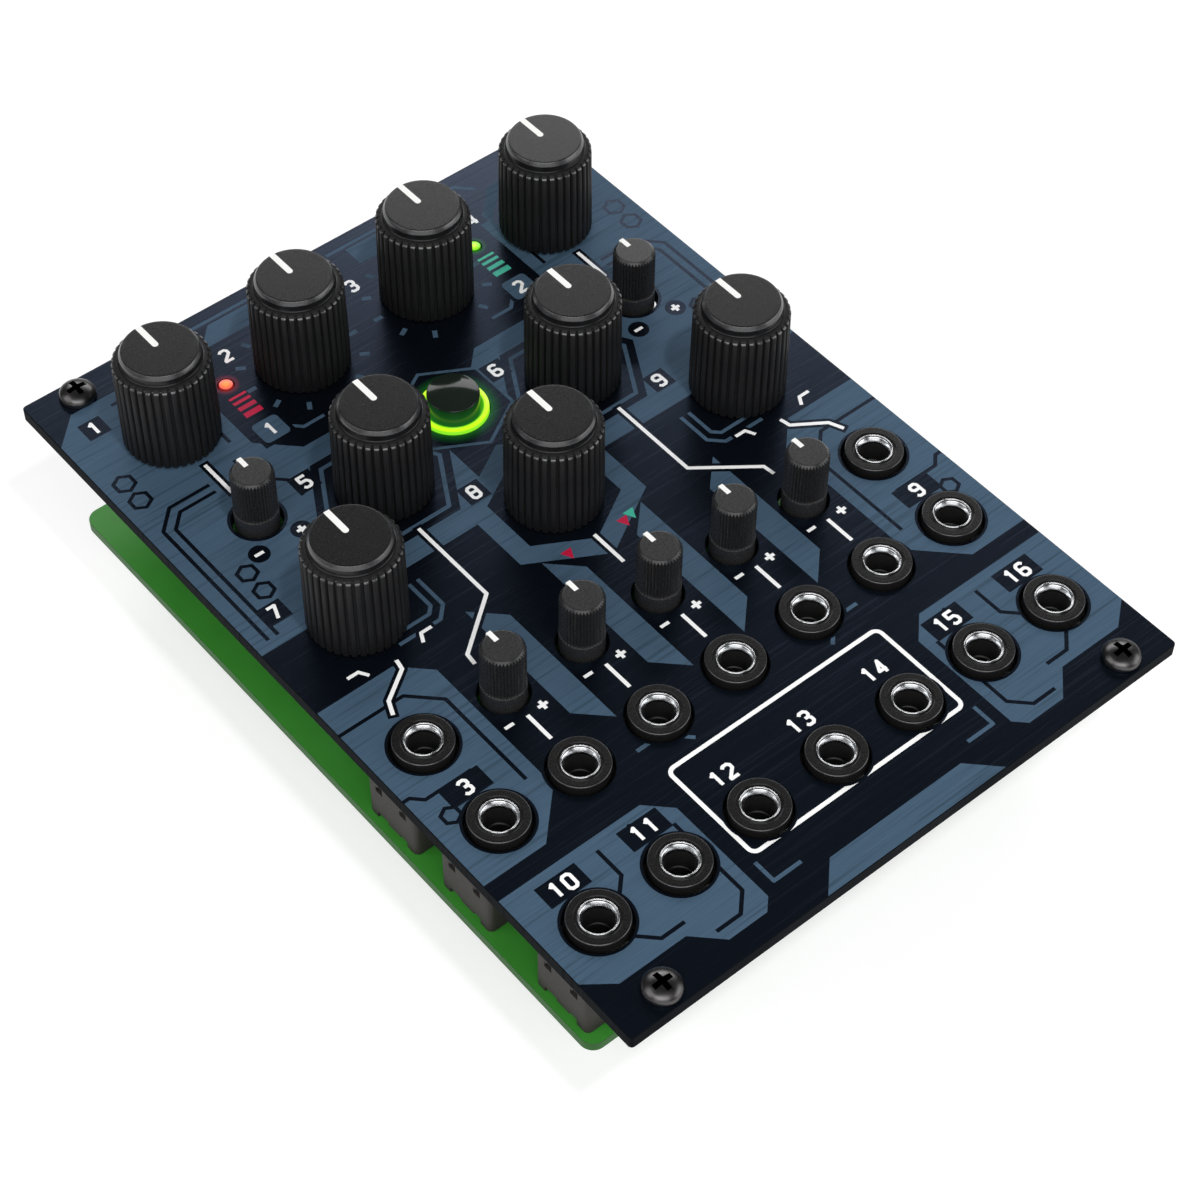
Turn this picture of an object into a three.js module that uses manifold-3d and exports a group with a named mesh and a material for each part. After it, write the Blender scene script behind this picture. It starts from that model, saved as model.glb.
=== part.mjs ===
// A synthesiser rack module, 3 units high and 18 pitches wide, in millimetres.
// +Z points out of the front panel, +Y to the panel's top edge and +X to its right.
// The origin is the centre of the panel's back face, the plane that lies on the rack's rails.

import * as THREE from 'three';
import { mergeVertices } from 'three/addons/utils/BufferGeometryUtils.js';
import Module from 'manifold-3d';

const wasm = await Module();
wasm.setup();

// Front panel
const panelWidth = 91.3;
const panelHeight = 128.5;
const panelThickness = 2;
const panelCornerRadius = 0.6;
const panelEdgeBevel = 0.1;
const railBand = 8;
const screwInsetX = 7.2;
const screwInsetY = 3;
const screwSlotWidth = 3.3;
const screwSlotLength = 4.3;

// Circuit board
const boardSideMargin = 1.65;
const boardEndMargin = 9.05;
const boardWidth = panelWidth - 2 * boardSideMargin;
const boardHeight = panelHeight - 2 * boardEndMargin;
const boardThickness = 1.6;
const boardCornerRadius = 2;
const boardSpacing = 13.7;

// Clearances
const runningGap = 0.15;
const seatGap = 0.3;
const holeGap = 0.4;
const cutOverrun = 1;
const weld = 0.4;

// Columns of the controls, from the panel's centre
const largeSideMargin = 13.15;
const jackSideMargin = 7.4;
const largeColumnOuter = panelWidth / 2 - largeSideMargin;
const largeColumnMiddle = largeColumnOuter / 2;
const largeColumnInner = largeColumnOuter / 3;
const ledColumn = 2 * largeColumnInner;
const buttonColumn = -0.2;
const jackPitch = (panelWidth / 2 - jackSideMargin) / 3;

// Rows of the controls, from the panel's centre: the outermost keep a margin to the panel's ends
const largeTopMargin = 17.15;
const ledRise = 3;
const jackBottomMargin = 14.8;
const largeUpperShare = 0.165;
const largeMiddleShare = 0.042;
const smallTopShare = 0.214;
const buttonShare = 0.2086;
const jackUpperShare = 0.1226;
const jackMiddleShare = 0.2389;
const headerShare = 0.2335;
const largeRowTop = panelHeight / 2 - largeTopMargin;
const ledRow = largeRowTop + ledRise;
const largeRowUpper = largeUpperShare * panelHeight;
const largeRowMiddle = largeMiddleShare * panelHeight;
const smallRowTop = smallTopShare * panelHeight;
const buttonRow = buttonShare * panelHeight;
const jackRowUpper = -jackUpperShare * panelHeight;
const jackRowMiddle = -jackMiddleShare * panelHeight;
const jackRowLower = jackBottomMargin - panelHeight / 2;
const headerY = headerShare * panelHeight;

// Large knob, with heights above the panel's front
const largeKnobBaseRadius = 6.75;
const largeKnobTopRadius = 6.58;
const largeKnobRibs = 36;
const largeKnobRibDepth = 0.4;
const largeKnobBase = 0.4;
const largeKnobRibTop = 14.8;
const largeKnobCapRadius = 5.46;
const largeKnobFaceRadius = 5.1;
const largeKnobBevelHeight = 0.55;
const largeKnobHeight = 16.4;
const largeKnobBoreRadius = 5.6;
const largeKnobBoreTop = 7;

// Large potentiometer
const shaftRadius = 3;
const shaftReach = 3;
const bushingRadius = 3.5;
const bushingHeight = 5;
const nutAcrossFlats = 9;
const nutHeight = 2;
const largePotWidth = 9.8;
const largePotLength = 10.6;
const largePotHeight = 7.6;
const largePotShaftFloor = 1;
const bracketThickness = 0.6;
const bracketLength = 6.4;
const terminalWidth = 6.2;
const terminalThickness = 1.2;

// Small knob, with heights above the panel's front
const smallKnobRadius = 3.05;
const smallKnobGripRadius = 2.95;
const smallKnobFaceRadius = 2.52;
const smallKnobChamfer = 0.45;
const smallKnobHeight = 9.25;
const smallKnobCollar = 2.2;
const smallKnobReach = 3.4;

// Small potentiometer
const smallShaftRadius = 1.5;
const smallShaftReach = 9;
const smallPotWidth = 9.5;
const smallPotLength = 10.2;
const smallPotHeight = 6.6;
const smallPotCollarRadius = 3.4;
const smallPotCollarHeight = 1.6;
const smallPotBoreFloor = 1;

// Jack
const jackBodyWidth = 9.7;
const jackBodyFront = 3.95;
const jackBodyBack = 6;
const jackBodyCorner = 0.8;
const jackFootHeight = 1.1;
const jackFootLength = 2.1;
const jackBossRadius = 4;
const jackBossRimRadius = 3.85;
const jackBossRimDrop = 0.2;
const jackBossHeight = 1.05;
const jackMouthRadius = 2.45;
const jackMouthDepth = 1.1;
const jackBoreRadius = 1.95;
const jackBoreDepth = 11;

// Push button with its lit ring and its switch
const buttonRadius = 3.65;
const buttonRimHeight = 3.1;
const buttonDomeRise = 0.45;
const buttonSkirtReach = 6;
const buttonStemRadius = 1.5;
const buttonStemReach = 10.9;
const buttonTravel = 0.5;
const ringRadius = 4.9;
const ringHeight = 0.5;
const ringShoulderRadius = 5.7;
const ringChamberRadius = 4.75;
const ringChamberReach = 7.4;
const switchSize = 6;
const switchHeight = 4;

// Indicator lamps
const ledRadius = 1.04;
const ledHeight = 0.2;
const ledBodyReach = 4;
const ledLegSize = 0.5;
const ledLegSpacing = 1.2;

// Rack screws
const screwRadius = 1.45;
const screwReach = 2;
const screwTipBevel = 0.3;
const screwHeadRadius = 2.6;
const screwHeadHeight = 1.8;
const screwHeadRim = 0.45;
const recessLength = 2.7;
const recessWidth = 0.75;
const recessDepth = 1.2;

// Power header on the board's back
const headerPins = 5;
const pinPitch = 2.54;
const pinSize = 0.64;
const pinHeight = 6;
const headerWidth = 9.1;
const headerEndMargin = 3.8;
const headerHeight = 8.9;
const headerWall = 1.25;
const headerFloor = 1.6;
const headerKeyWidth = 4.5;

// Facets of the round pieces
const fineSides = 24;
const roundSides = 16;
const boreSides = 12;
const cornerSteps = 3;

// Levels that several pieces share
const panelFront = panelThickness;
const boardTop = -boardSpacing;
const boardBottom = boardTop - boardThickness;
const underPanel = -seatGap;

// Materials
function finish(color, roughness, metalness) {
  return new THREE.MeshStandardMaterial({ color, roughness, metalness });
}

const anodisedBlue = finish(0x1a2431, 0.45, 0.6);
const solderMask = finish(0x2f7d25, 0.5, 0);
const knobPlastic = finish(0x232324, 0.6, 0);
const softPlastic = finish(0x3a3a3c, 0.75, 0);
const jackPlastic = finish(0x2b2a2a, 0.5, 0);
const bareSteel = finish(0xa9aaab, 0.35, 1);
const glossPlastic = finish(0x0d0f0e, 0.1, 0);
const litPlastic = finish(0x9dff1c, 0.4, 0);
const switchPlastic = finish(0x1b1b1b, 0.5, 0);
const redLens = finish(0xff5a2c, 0.3, 0);
const greenLens = finish(0x7dff2a, 0.3, 0);
const blackSteel = finish(0x4a4b4d, 0.3, 1);
const headerPlastic = finish(0x161616, 0.55, 0);

// Turns a closed geometry into a solid that can be joined and cut.
function solid(geometry) {
  geometry.deleteAttribute('normal');
  geometry.deleteAttribute('uv');
  const merged = mergeVertices(geometry);
  const corners = merged.index.array;
  const kept = [];
  for (let i = 0; i < corners.length; i += 3) {
    const [a, b, c] = corners.slice(i, i + 3);
    if (a !== b && b !== c && c !== a) kept.push(a, b, c);
  }
  const mesh = new wasm.Mesh({
    numProp: 3,
    vertProperties: merged.attributes.position.array,
    triVerts: Uint32Array.from(kept),
  });
  return new wasm.Manifold(mesh);
}

// Gives a solid back as a geometry.
function shell(body) {
  const mesh = body.getMesh();
  const geometry = new THREE.BufferGeometry();
  geometry.setAttribute('position', new THREE.BufferAttribute(mesh.vertProperties, mesh.numProp));
  geometry.setIndex(new THREE.BufferAttribute(mesh.triVerts, 1));
  return geometry;
}

// A turned solid about Z from [radius, height] pairs that run up the outside.
function turned(profile, sides) {
  const points = profile.map(([radius, height]) => new THREE.Vector2(radius, height));
  return solid(new THREE.LatheGeometry(points, sides).rotateX(Math.PI / 2));
}

function cylinder(radius, low, high, sides) {
  return turned([[0, low], [radius, low], [radius, high], [0, high]], sides);
}

function block(lowX, highX, lowY, highY, lowZ, highZ) {
  const box = new THREE.BoxGeometry(highX - lowX, highY - lowY, highZ - lowZ);
  return solid(box.translate((lowX + highX) / 2, (lowY + highY) / 2, (lowZ + highZ) / 2));
}

function centredBlock(width, length, low, high) {
  return block(-width / 2, width / 2, -length / 2, length / 2, low, high);
}

function prism(shape, low, high) {
  const geometry = new THREE.ExtrudeGeometry(shape, { depth: high - low, bevelEnabled: false });
  return geometry.translate(0, 0, low);
}

// Points of a quarter circle that turns anticlockwise from a start angle.
function quarter(x, y, radius, start) {
  const points = [];
  for (let i = 0; i <= cornerSteps; i += 1) {
    const angle = start + (Math.PI / 2) * (i / cornerSteps);
    points.push(new THREE.Vector2(x + radius * Math.cos(angle), y + radius * Math.sin(angle)));
  }
  return points;
}

function chamferedRectangle(lowX, highX, lowY, highY, cut) {
  return new THREE.Shape([
    new THREE.Vector2(highX, lowY + cut),
    new THREE.Vector2(highX, highY - cut),
    new THREE.Vector2(highX - cut, highY),
    new THREE.Vector2(lowX + cut, highY),
    new THREE.Vector2(lowX, highY - cut),
    new THREE.Vector2(lowX, lowY + cut),
    new THREE.Vector2(lowX + cut, lowY),
    new THREE.Vector2(highX - cut, lowY),
  ]);
}

function roundedRectangle(width, height, radius) {
  const x = width / 2 - radius;
  const y = height / 2 - radius;
  return new THREE.Shape([
    ...quarter(x, y, radius, 0),
    ...quarter(-x, y, radius, Math.PI / 2),
    ...quarter(-x, -y, radius, Math.PI),
    ...quarter(x, -y, radius, -Math.PI / 2),
  ]);
}

// The assembly
const assembly = new THREE.Group();

function place(name, geometry, material, x = 0, y = 0) {
  const mesh = new THREE.Mesh(geometry, material);
  mesh.name = name;
  mesh.position.set(x, y, 0);
  assembly.add(mesh);
}

// Layout lists
const largePlaces = [
  [-largeColumnOuter, largeRowTop],
  [-largeColumnInner, largeRowTop],
  [largeColumnInner, largeRowTop],
  [largeColumnOuter, largeRowTop],
  [-largeColumnMiddle, largeRowUpper],
  [largeColumnMiddle, largeRowUpper],
  [-largeColumnOuter, largeRowMiddle],
  [0, largeRowMiddle],
  [largeColumnOuter, largeRowMiddle],
];

const smallPlaces = [[-largeColumnOuter, smallRowTop], [largeColumnOuter, smallRowTop]];
for (let column = -2; column <= 2; column += 1) {
  smallPlaces.push([column * jackPitch, jackRowUpper]);
}

const jackPlaces = [[-3 * jackPitch, jackRowUpper], [3 * jackPitch, jackRowUpper]];
for (const row of [jackRowMiddle, jackRowLower]) {
  for (let column = -3; column <= 3; column += 1) {
    jackPlaces.push([column * jackPitch, row]);
  }
}

const ledPlaces = [[-ledColumn, ledRow], [ledColumn, ledRow]];

const screwX = panelWidth / 2 - screwInsetX;
const screwY = panelHeight / 2 - screwInsetY;
const screwPlaces = [[-screwX, screwY], [screwX, screwY], [-screwX, -screwY], [screwX, -screwY]];

// Front panel: a plate whose faces are filled in three bands, one along each rail and one between.
function circleHole([x, y], radius, sides) {
  const points = [];
  for (let i = 0; i < sides; i += 1) {
    const angle = (2 * Math.PI * i) / sides;
    points.push(new THREE.Vector2(x + radius * Math.cos(angle), y + radius * Math.sin(angle)));
  }
  return points;
}

function slotHole([x, y], width, length) {
  const reach = (length - width) / 2;
  const halfCircle = (centre, start) => [
    ...quarter(centre, y, width / 2, start),
    ...quarter(centre, y, width / 2, start + Math.PI / 2).slice(1),
  ];
  return [...halfCircle(x + reach, -Math.PI / 2), ...halfCircle(x - reach, Math.PI / 2)];
}

// The upper band's outline, from the right seam over the two top corners to the left seam.
function upperBand(inset) {
  const halfWidth = panelWidth / 2 - inset;
  const top = panelHeight / 2 - inset;
  const radius = panelCornerRadius - inset;
  const seam = panelHeight / 2 - railBand;
  return [
    new THREE.Vector2(halfWidth, seam),
    ...quarter(halfWidth - radius, top - radius, radius, 0),
    ...quarter(-halfWidth + radius, top - radius, radius, Math.PI / 2),
    new THREE.Vector2(-halfWidth, seam),
  ];
}

function halfTurn(points) {
  return points.map((point) => new THREE.Vector2(-point.x, -point.y));
}

function panelGeometry() {
  const triangles = [];
  const fill = (outline, holes, height, faceUp) => {
    const flat = outline.concat(...holes);
    for (const face of THREE.ShapeUtils.triangulateShape(outline, holes)) {
      const order = faceUp ? face : [...face].reverse();
      for (const i of order) triangles.push(flat[i].x, flat[i].y, height);
    }
  };
  const wall = (low, lowHeight, high, highHeight) => {
    low.forEach((a, i) => {
      const next = (i + 1) % low.length;
      const b = low[next];
      const c = high[next];
      const d = high[i];
      triangles.push(a.x, a.y, lowHeight, b.x, b.y, lowHeight, c.x, c.y, highHeight);
      triangles.push(a.x, a.y, lowHeight, c.x, c.y, highHeight, d.x, d.y, highHeight);
    });
  };

  const slots = screwPlaces.map((spot) => slotHole(spot, screwSlotWidth, screwSlotLength));
  const openings = [
    ...largePlaces.map((spot) => circleHole(spot, bushingRadius + seatGap, roundSides)),
    ...smallPlaces.map((spot) => circleHole(spot, smallKnobRadius + holeGap, boreSides)),
    ...jackPlaces.map((spot) => circleHole(spot, jackBossRadius + holeGap, roundSides)),
    ...ledPlaces.map((spot) => circleHole(spot, ledRadius + runningGap, boreSides)),
    circleHole([buttonColumn, buttonRow], ringRadius + runningGap, roundSides),
  ];
  for (const [inset, height, faceUp] of [[0, 0, false], [panelEdgeBevel, panelFront, true]]) {
    const upper = upperBand(inset);
    const lower = halfTurn(upper);
    const between = [upper[0], upper[upper.length - 1], lower[0], lower[lower.length - 1]];
    fill(upper, slots.slice(0, 2), height, faceUp);
    fill(lower, slots.slice(2), height, faceUp);
    fill(between, openings, height, faceUp);
  }
  const outerLoop = upperBand(0).concat(halfTurn(upperBand(0)));
  const innerLoop = upperBand(panelEdgeBevel).concat(halfTurn(upperBand(panelEdgeBevel)));
  wall(outerLoop, 0, outerLoop, panelFront - panelEdgeBevel);
  wall(outerLoop, panelFront - panelEdgeBevel, innerLoop, panelFront);
  for (const hole of slots.concat(openings)) {
    const inward = [...hole].reverse();
    wall(inward, 0, inward, panelFront);
  }
  const geometry = new THREE.BufferGeometry();
  geometry.setAttribute('position', new THREE.Float32BufferAttribute(triangles, 3));
  return mergeVertices(geometry);
}

place('front_panel', panelGeometry(), anodisedBlue);

// Circuit board
const boardOutline = roundedRectangle(boardWidth, boardHeight, boardCornerRadius);
place('circuit_board', prism(boardOutline, boardBottom, boardTop), solderMask);

// Large knob: a ribbed skirt that narrows upwards, a bevelled cap, and the shaft it is pressed on.
function ribbedSkirt() {
  const points = [];
  for (let i = 0; i < 2 * largeKnobRibs; i += 1) {
    const angle = (Math.PI * i) / largeKnobRibs;
    const radius = i % 2 ? largeKnobBaseRadius - largeKnobRibDepth : largeKnobBaseRadius;
    points.push(new THREE.Vector2(radius * Math.cos(angle), radius * Math.sin(angle)));
  }
  const low = panelFront + largeKnobBase;
  const high = panelFront + largeKnobRibTop;
  const geometry = prism(new THREE.Shape(points), low, high);
  const position = geometry.attributes.position;
  for (let i = 0; i < position.count; i += 1) {
    const rise = (position.getZ(i) - low) / (high - low);
    const radius = THREE.MathUtils.lerp(largeKnobBaseRadius, largeKnobTopRadius, rise);
    const factor = radius / largeKnobBaseRadius;
    position.setXY(i, position.getX(i) * factor, position.getY(i) * factor);
  }
  return solid(geometry);
}

function largeKnob() {
  const top = panelFront + largeKnobHeight;
  const capFoot = panelFront + largeKnobRibTop - weld;
  const cap = turned([
    [0, capFoot],
    [largeKnobCapRadius, capFoot],
    [largeKnobCapRadius, top - largeKnobBevelHeight],
    [largeKnobFaceRadius, top],
    [0, top],
  ], fineSides);
  const boreTop = panelFront + largeKnobBoreTop;
  const bore = cylinder(largeKnobBoreRadius, panelFront - cutOverrun, boreTop, roundSides);
  const shaft = cylinder(shaftRadius, -shaftReach, boreTop + weld, boreSides);
  return shell(ribbedSkirt().add(cap).subtract(bore).add(shaft));
}

// Large potentiometer: body with brackets and terminals down to the board, bushing and nut.
function largePot() {
  const bodyBottom = underPanel - largePotHeight;
  const body = centredBlock(largePotWidth, largePotLength, bodyBottom, underPanel);
  const outer = largePotWidth / 2;
  const inner = outer - bracketThickness;
  const legTop = bodyBottom + weld;
  const leftLeg = block(-outer, -inner, -bracketLength / 2, bracketLength / 2, boardTop, legTop);
  const rightLeg = block(inner, outer, -bracketLength / 2, bracketLength / 2, boardTop, legTop);
  const front = -largePotLength / 2;
  const back = front + terminalThickness;
  const terminals = block(-terminalWidth / 2, terminalWidth / 2, front, back, boardTop, legTop);
  const bushingTop = panelFront + bushingHeight;
  const bushing = cylinder(bushingRadius, underPanel - weld, bushingTop, boreSides);
  const nutLow = panelFront + runningGap;
  const nutRadius = nutAcrossFlats / 2 / Math.cos(Math.PI / 6);
  const nut = cylinder(nutRadius, nutLow, nutLow + nutHeight, 6);
  const boreLow = -shaftReach - largePotShaftFloor;
  const bore = cylinder(shaftRadius + runningGap, boreLow, bushingTop + cutOverrun, boreSides);
  return shell(body.add(leftLeg).add(rightLeg).add(terminals).add(bushing).add(nut).subtract(bore));
}

const largeKnobShape = largeKnob();
const largePotShape = largePot();
largePlaces.forEach(([x, y], i) => {
  place(`large_knob_${i + 1}`, largeKnobShape, knobPlastic, x, y);
  place(`large_pot_${i + 1}`, largePotShape, bareSteel, x, y);
});

// Small knob: a smooth collar, a grip, a chamfered face and a shaft.
function smallKnob() {
  const top = panelFront + smallKnobHeight;
  const collarTop = panelFront + smallKnobCollar;
  const low = panelFront - smallKnobReach;
  return shell(turned([
    [0, -smallShaftReach],
    [smallShaftRadius, -smallShaftReach],
    [smallShaftRadius, low],
    [smallKnobRadius, low],
    [smallKnobRadius, collarTop],
    [smallKnobGripRadius, collarTop],
    [smallKnobGripRadius, top - smallKnobChamfer],
    [smallKnobFaceRadius, top],
    [0, top],
  ], roundSides));
}

// Small potentiometer: a square body on the board with a round collar.
function smallPot() {
  const bodyTop = boardTop + smallPotHeight;
  const collarTop = bodyTop + smallPotCollarHeight;
  const boreLow = -smallShaftReach - smallPotBoreFloor;
  const body = centredBlock(smallPotWidth, smallPotLength, boardTop, bodyTop);
  const collar = cylinder(smallPotCollarRadius, bodyTop - weld, collarTop, roundSides);
  const bore = cylinder(smallShaftRadius + runningGap, boreLow, collarTop + cutOverrun, boreSides);
  return shell(body.add(collar).subtract(bore));
}

const smallKnobShape = smallKnob();
const smallPotShape = smallPot();
smallPlaces.forEach(([x, y], i) => {
  place(`small_knob_${i + 1}`, smallKnobShape, softPlastic, x, y);
  place(`small_pot_${i + 1}`, smallPotShape, switchPlastic, x, y);
});

// Jack: a housing on two feet, a boss through the panel and a socket with a flared mouth.
function jack() {
  const halfWidth = jackBodyWidth / 2;
  const outline = chamferedRectangle(-halfWidth, halfWidth, -jackBodyFront, jackBodyBack, jackBodyCorner);
  const housing = solid(prism(outline, boardTop, underPanel));
  const footGap = block(
    -halfWidth - cutOverrun,
    halfWidth + cutOverrun,
    -jackBodyFront + jackFootLength,
    jackBodyBack - jackFootLength,
    boardTop - cutOverrun,
    boardTop + jackFootHeight,
  );
  const top = panelFront + jackBossHeight;
  const boss = turned([
    [0, underPanel - weld],
    [jackBossRadius, underPanel - weld],
    [jackBossRadius, top - jackBossRimDrop],
    [jackBossRimRadius, top],
    [0, top],
  ], roundSides);
  const socket = turned([
    [0, top - jackBoreDepth],
    [jackBoreRadius, top - jackBoreDepth],
    [jackBoreRadius, top - jackMouthDepth],
    [jackMouthRadius, top],
    [jackMouthRadius, top + cutOverrun],
    [0, top + cutOverrun],
  ], boreSides);
  return shell(housing.subtract(footGap).add(boss).subtract(socket));
}

const jackShape = jack();
jackPlaces.forEach(([x, y], i) => place(`jack_${i + 1}`, jackShape, jackPlastic, x, y));

// Push button: a domed cap whose stem slides in the switch.
function pushButton() {
  const rim = panelFront + buttonRimHeight;
  return shell(turned([
    [0, -buttonStemReach],
    [buttonStemRadius, -buttonStemReach],
    [buttonStemRadius, -buttonSkirtReach],
    [buttonRadius, -buttonSkirtReach],
    [buttonRadius, rim],
    [buttonRadius * Math.cos(Math.PI / 4), rim + buttonDomeRise / 2],
    [0, rim + buttonDomeRise],
  ], fineSides));
}

// Lit ring: a light guide that stands on the board round the switch and ends proud of the panel.
function lightRing() {
  const low = boardTop;
  const chamberTop = -ringChamberReach;
  const top = panelFront + ringHeight;
  const inner = buttonRadius + seatGap;
  return shell(turned([
    [ringChamberRadius, low],
    [ringShoulderRadius, low],
    [ringShoulderRadius, underPanel],
    [ringRadius, underPanel],
    [ringRadius, top],
    [inner, top],
    [inner, chamberTop],
    [ringChamberRadius, chamberTop],
    [ringChamberRadius, low],
  ], roundSides));
}

// Switch: a square body on the board with a hole for the stem and its travel.
function buttonSwitch() {
  const top = boardTop + switchHeight;
  const boreLow = -buttonStemReach - buttonTravel - seatGap;
  const body = centredBlock(switchSize, switchSize, boardTop, top);
  return shell(body.subtract(cylinder(buttonStemRadius + runningGap, boreLow, top + cutOverrun, boreSides)));
}

place('push_button', pushButton(), glossPlastic, buttonColumn, buttonRow);
place('button_light_ring', lightRing(), litPlastic, buttonColumn, buttonRow);
place('button_switch', buttonSwitch(), switchPlastic, buttonColumn, buttonRow);

// Indicator lamp: a round lens with two legs down to the board.
function lamp() {
  const top = panelFront + ledHeight;
  const lens = turned([
    [0, -ledBodyReach],
    [ledRadius, -ledBodyReach],
    [ledRadius, top - ledHeight / 2],
    [ledRadius * Math.cos(Math.PI / 6), top - ledHeight / 4],
    [0, top],
  ], boreSides);
  const half = ledLegSize / 2;
  const legAt = (x) => block(x - half, x + half, -half, half, boardTop, weld - ledBodyReach);
  return shell(lens.add(legAt(-ledLegSpacing / 2)).add(legAt(ledLegSpacing / 2)));
}

const lampShape = lamp();
place('led_red', lampShape, redLens, ...ledPlaces[0]);
place('led_green', lampShape, greenLens, ...ledPlaces[1]);

// Rack screw: a pan head with a cross recess, and a plain shank in place of the thread.
function rackScrew() {
  const headTop = panelFront + screwHeadHeight;
  const domeRise = screwHeadHeight - screwHeadRim;
  const profile = [
    [0, -screwReach],
    [screwRadius - screwTipBevel, -screwReach],
    [screwRadius, -screwReach + screwTipBevel],
    [screwRadius, panelFront],
    [screwHeadRadius, panelFront],
  ];
  for (let step = 0; step <= cornerSteps; step += 1) {
    const angle = (Math.PI / 2) * (step / cornerSteps);
    profile.push([screwHeadRadius * Math.cos(angle), headTop - domeRise * (1 - Math.sin(angle))]);
  }
  profile[profile.length - 1][0] = 0;
  const slotLow = headTop - recessDepth;
  const slotHigh = headTop + cutOverrun;
  const across = centredBlock(recessLength, recessWidth, slotLow, slotHigh);
  const along = centredBlock(recessWidth, recessLength, slotLow, slotHigh);
  return shell(turned(profile, boreSides).subtract(across).subtract(along));
}

const screwShape = rackScrew();
screwPlaces.forEach(([x, y], i) => place(`rack_screw_${i + 1}`, screwShape, blackSteel, x, y));

// Power header: a keyed shroud round two rows of pins on the board's back.
function powerHeader() {
  const halfLength = ((headerPins - 1) * pinPitch) / 2 + headerEndMargin + pinPitch / 2;
  const halfWidth = headerWidth / 2;
  const rim = boardBottom - headerHeight;
  const floorLevel = boardBottom - headerFloor;
  const innerWidth = halfWidth - headerWall;
  const innerLength = halfLength - headerWall;
  const shroud = block(-halfWidth, halfWidth, -halfLength, halfLength, rim, boardBottom);
  const well = block(-innerWidth, innerWidth, -innerLength, innerLength, rim - cutOverrun, floorLevel);
  const keyHalf = headerKeyWidth / 2;
  const key = block(-halfWidth - cutOverrun, 0, -keyHalf, keyHalf, rim - cutOverrun, floorLevel);
  let header = shroud.subtract(well).subtract(key);
  const half = pinSize / 2;
  for (const side of [-1, 1]) {
    for (let i = 0; i < headerPins; i += 1) {
      const x = (side * pinPitch) / 2;
      const y = (i - (headerPins - 1) / 2) * pinPitch;
      const pinLow = floorLevel - pinHeight;
      header = header.add(block(x - half, x + half, y - half, y + half, pinLow, floorLevel + weld));
    }
  }
  return shell(header);
}

place('power_header', powerHeader(), headerPlastic, 0, headerY);

export default assembly;
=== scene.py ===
# %% [markdown]
# # A synthesiser module for a rack
# A printed metal panel carries knobs, sockets, a lit button and two lamps over one circuit board.
# The solids that hold its sizes and joints are loaded first and never change. Each visible piece is
# then modelled finer, at the place of its solid, and gets the finish of its real material.

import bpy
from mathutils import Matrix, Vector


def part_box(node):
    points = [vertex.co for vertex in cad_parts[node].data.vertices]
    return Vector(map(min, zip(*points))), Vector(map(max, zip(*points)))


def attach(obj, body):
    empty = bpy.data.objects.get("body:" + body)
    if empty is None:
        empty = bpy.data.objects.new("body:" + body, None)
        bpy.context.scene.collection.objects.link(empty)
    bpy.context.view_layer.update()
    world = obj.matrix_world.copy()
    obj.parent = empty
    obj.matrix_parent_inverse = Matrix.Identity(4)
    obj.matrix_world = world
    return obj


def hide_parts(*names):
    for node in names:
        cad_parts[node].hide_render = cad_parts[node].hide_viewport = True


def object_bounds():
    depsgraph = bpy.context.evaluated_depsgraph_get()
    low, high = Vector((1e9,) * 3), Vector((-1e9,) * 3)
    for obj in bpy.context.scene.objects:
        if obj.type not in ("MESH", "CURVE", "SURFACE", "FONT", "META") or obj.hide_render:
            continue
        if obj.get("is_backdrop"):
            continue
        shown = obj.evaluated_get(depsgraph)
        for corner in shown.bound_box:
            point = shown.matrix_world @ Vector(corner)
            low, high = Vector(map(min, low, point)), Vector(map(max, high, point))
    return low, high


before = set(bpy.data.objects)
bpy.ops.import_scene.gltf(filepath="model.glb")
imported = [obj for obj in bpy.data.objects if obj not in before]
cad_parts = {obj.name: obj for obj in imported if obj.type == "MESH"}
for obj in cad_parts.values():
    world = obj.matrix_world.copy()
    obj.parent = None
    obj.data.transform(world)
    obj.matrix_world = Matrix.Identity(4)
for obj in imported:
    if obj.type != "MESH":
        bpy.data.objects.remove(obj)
cad_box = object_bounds()

# %% [markdown]
# ## Units and places
# Blender works in metres, but a maker draws such a module in millimetres. So sizes below are in
# millimetres, and one factor turns them to metres where a mesh is made. Places aren't typed: they
# are read from the boxes of the solids.

# %% Units and places
import math

import bpy
from mathutils import Matrix, Vector
from mathutils.geometry import delaunay_2d_cdt

MM = 0.001
MODULE = "module_body"


def corners(node):
    """The lowest and highest corner of a solid, in millimetres."""
    low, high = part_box(node)
    return low / MM, high / MM


def spot(node):
    """The middle of a solid seen from the front, in millimetres."""
    low, high = corners(node)
    return (low.x + high.x) / 2, (low.y + high.y) / 2


def spots(kind, count):
    return [spot(f"{kind}_{number}") for number in range(1, count + 1)]


panel_low, panel_high = corners("front_panel")
board_low, board_high = corners("circuit_board")
header_low, header_high = corners("power_header")
panel_front, panel_back = panel_high.z, panel_low.z
board_front, board_back = board_high.z, board_low.z
half_width, half_height = panel_high.x, panel_high.y
large_spots = spots("large_knob", 9)
small_spots = spots("small_knob", 7)
screw_spots = spots("rack_screw", 4)
button_spot, red_spot, green_spot = spot("push_button"), spot("led_red"), spot("led_green")
HOUSING_FRONT, HOUSING_BACK = 3.95, 6.0
jack_spots = [(x, corners(f"jack_{number}")[0].y + HOUSING_FRONT)
              for number, (x, _) in enumerate(spots("jack", 16), 1)]
print("panel", round(2 * half_width, 2), "by", round(2 * half_height, 2), "mm")

# %% [markdown]
# ## Camera
# The camera stands where it stood for the photograph: the panel's four front corners fall on the
# same four points of a square picture. It looks down at about 50 degrees from the lower left.

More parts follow.
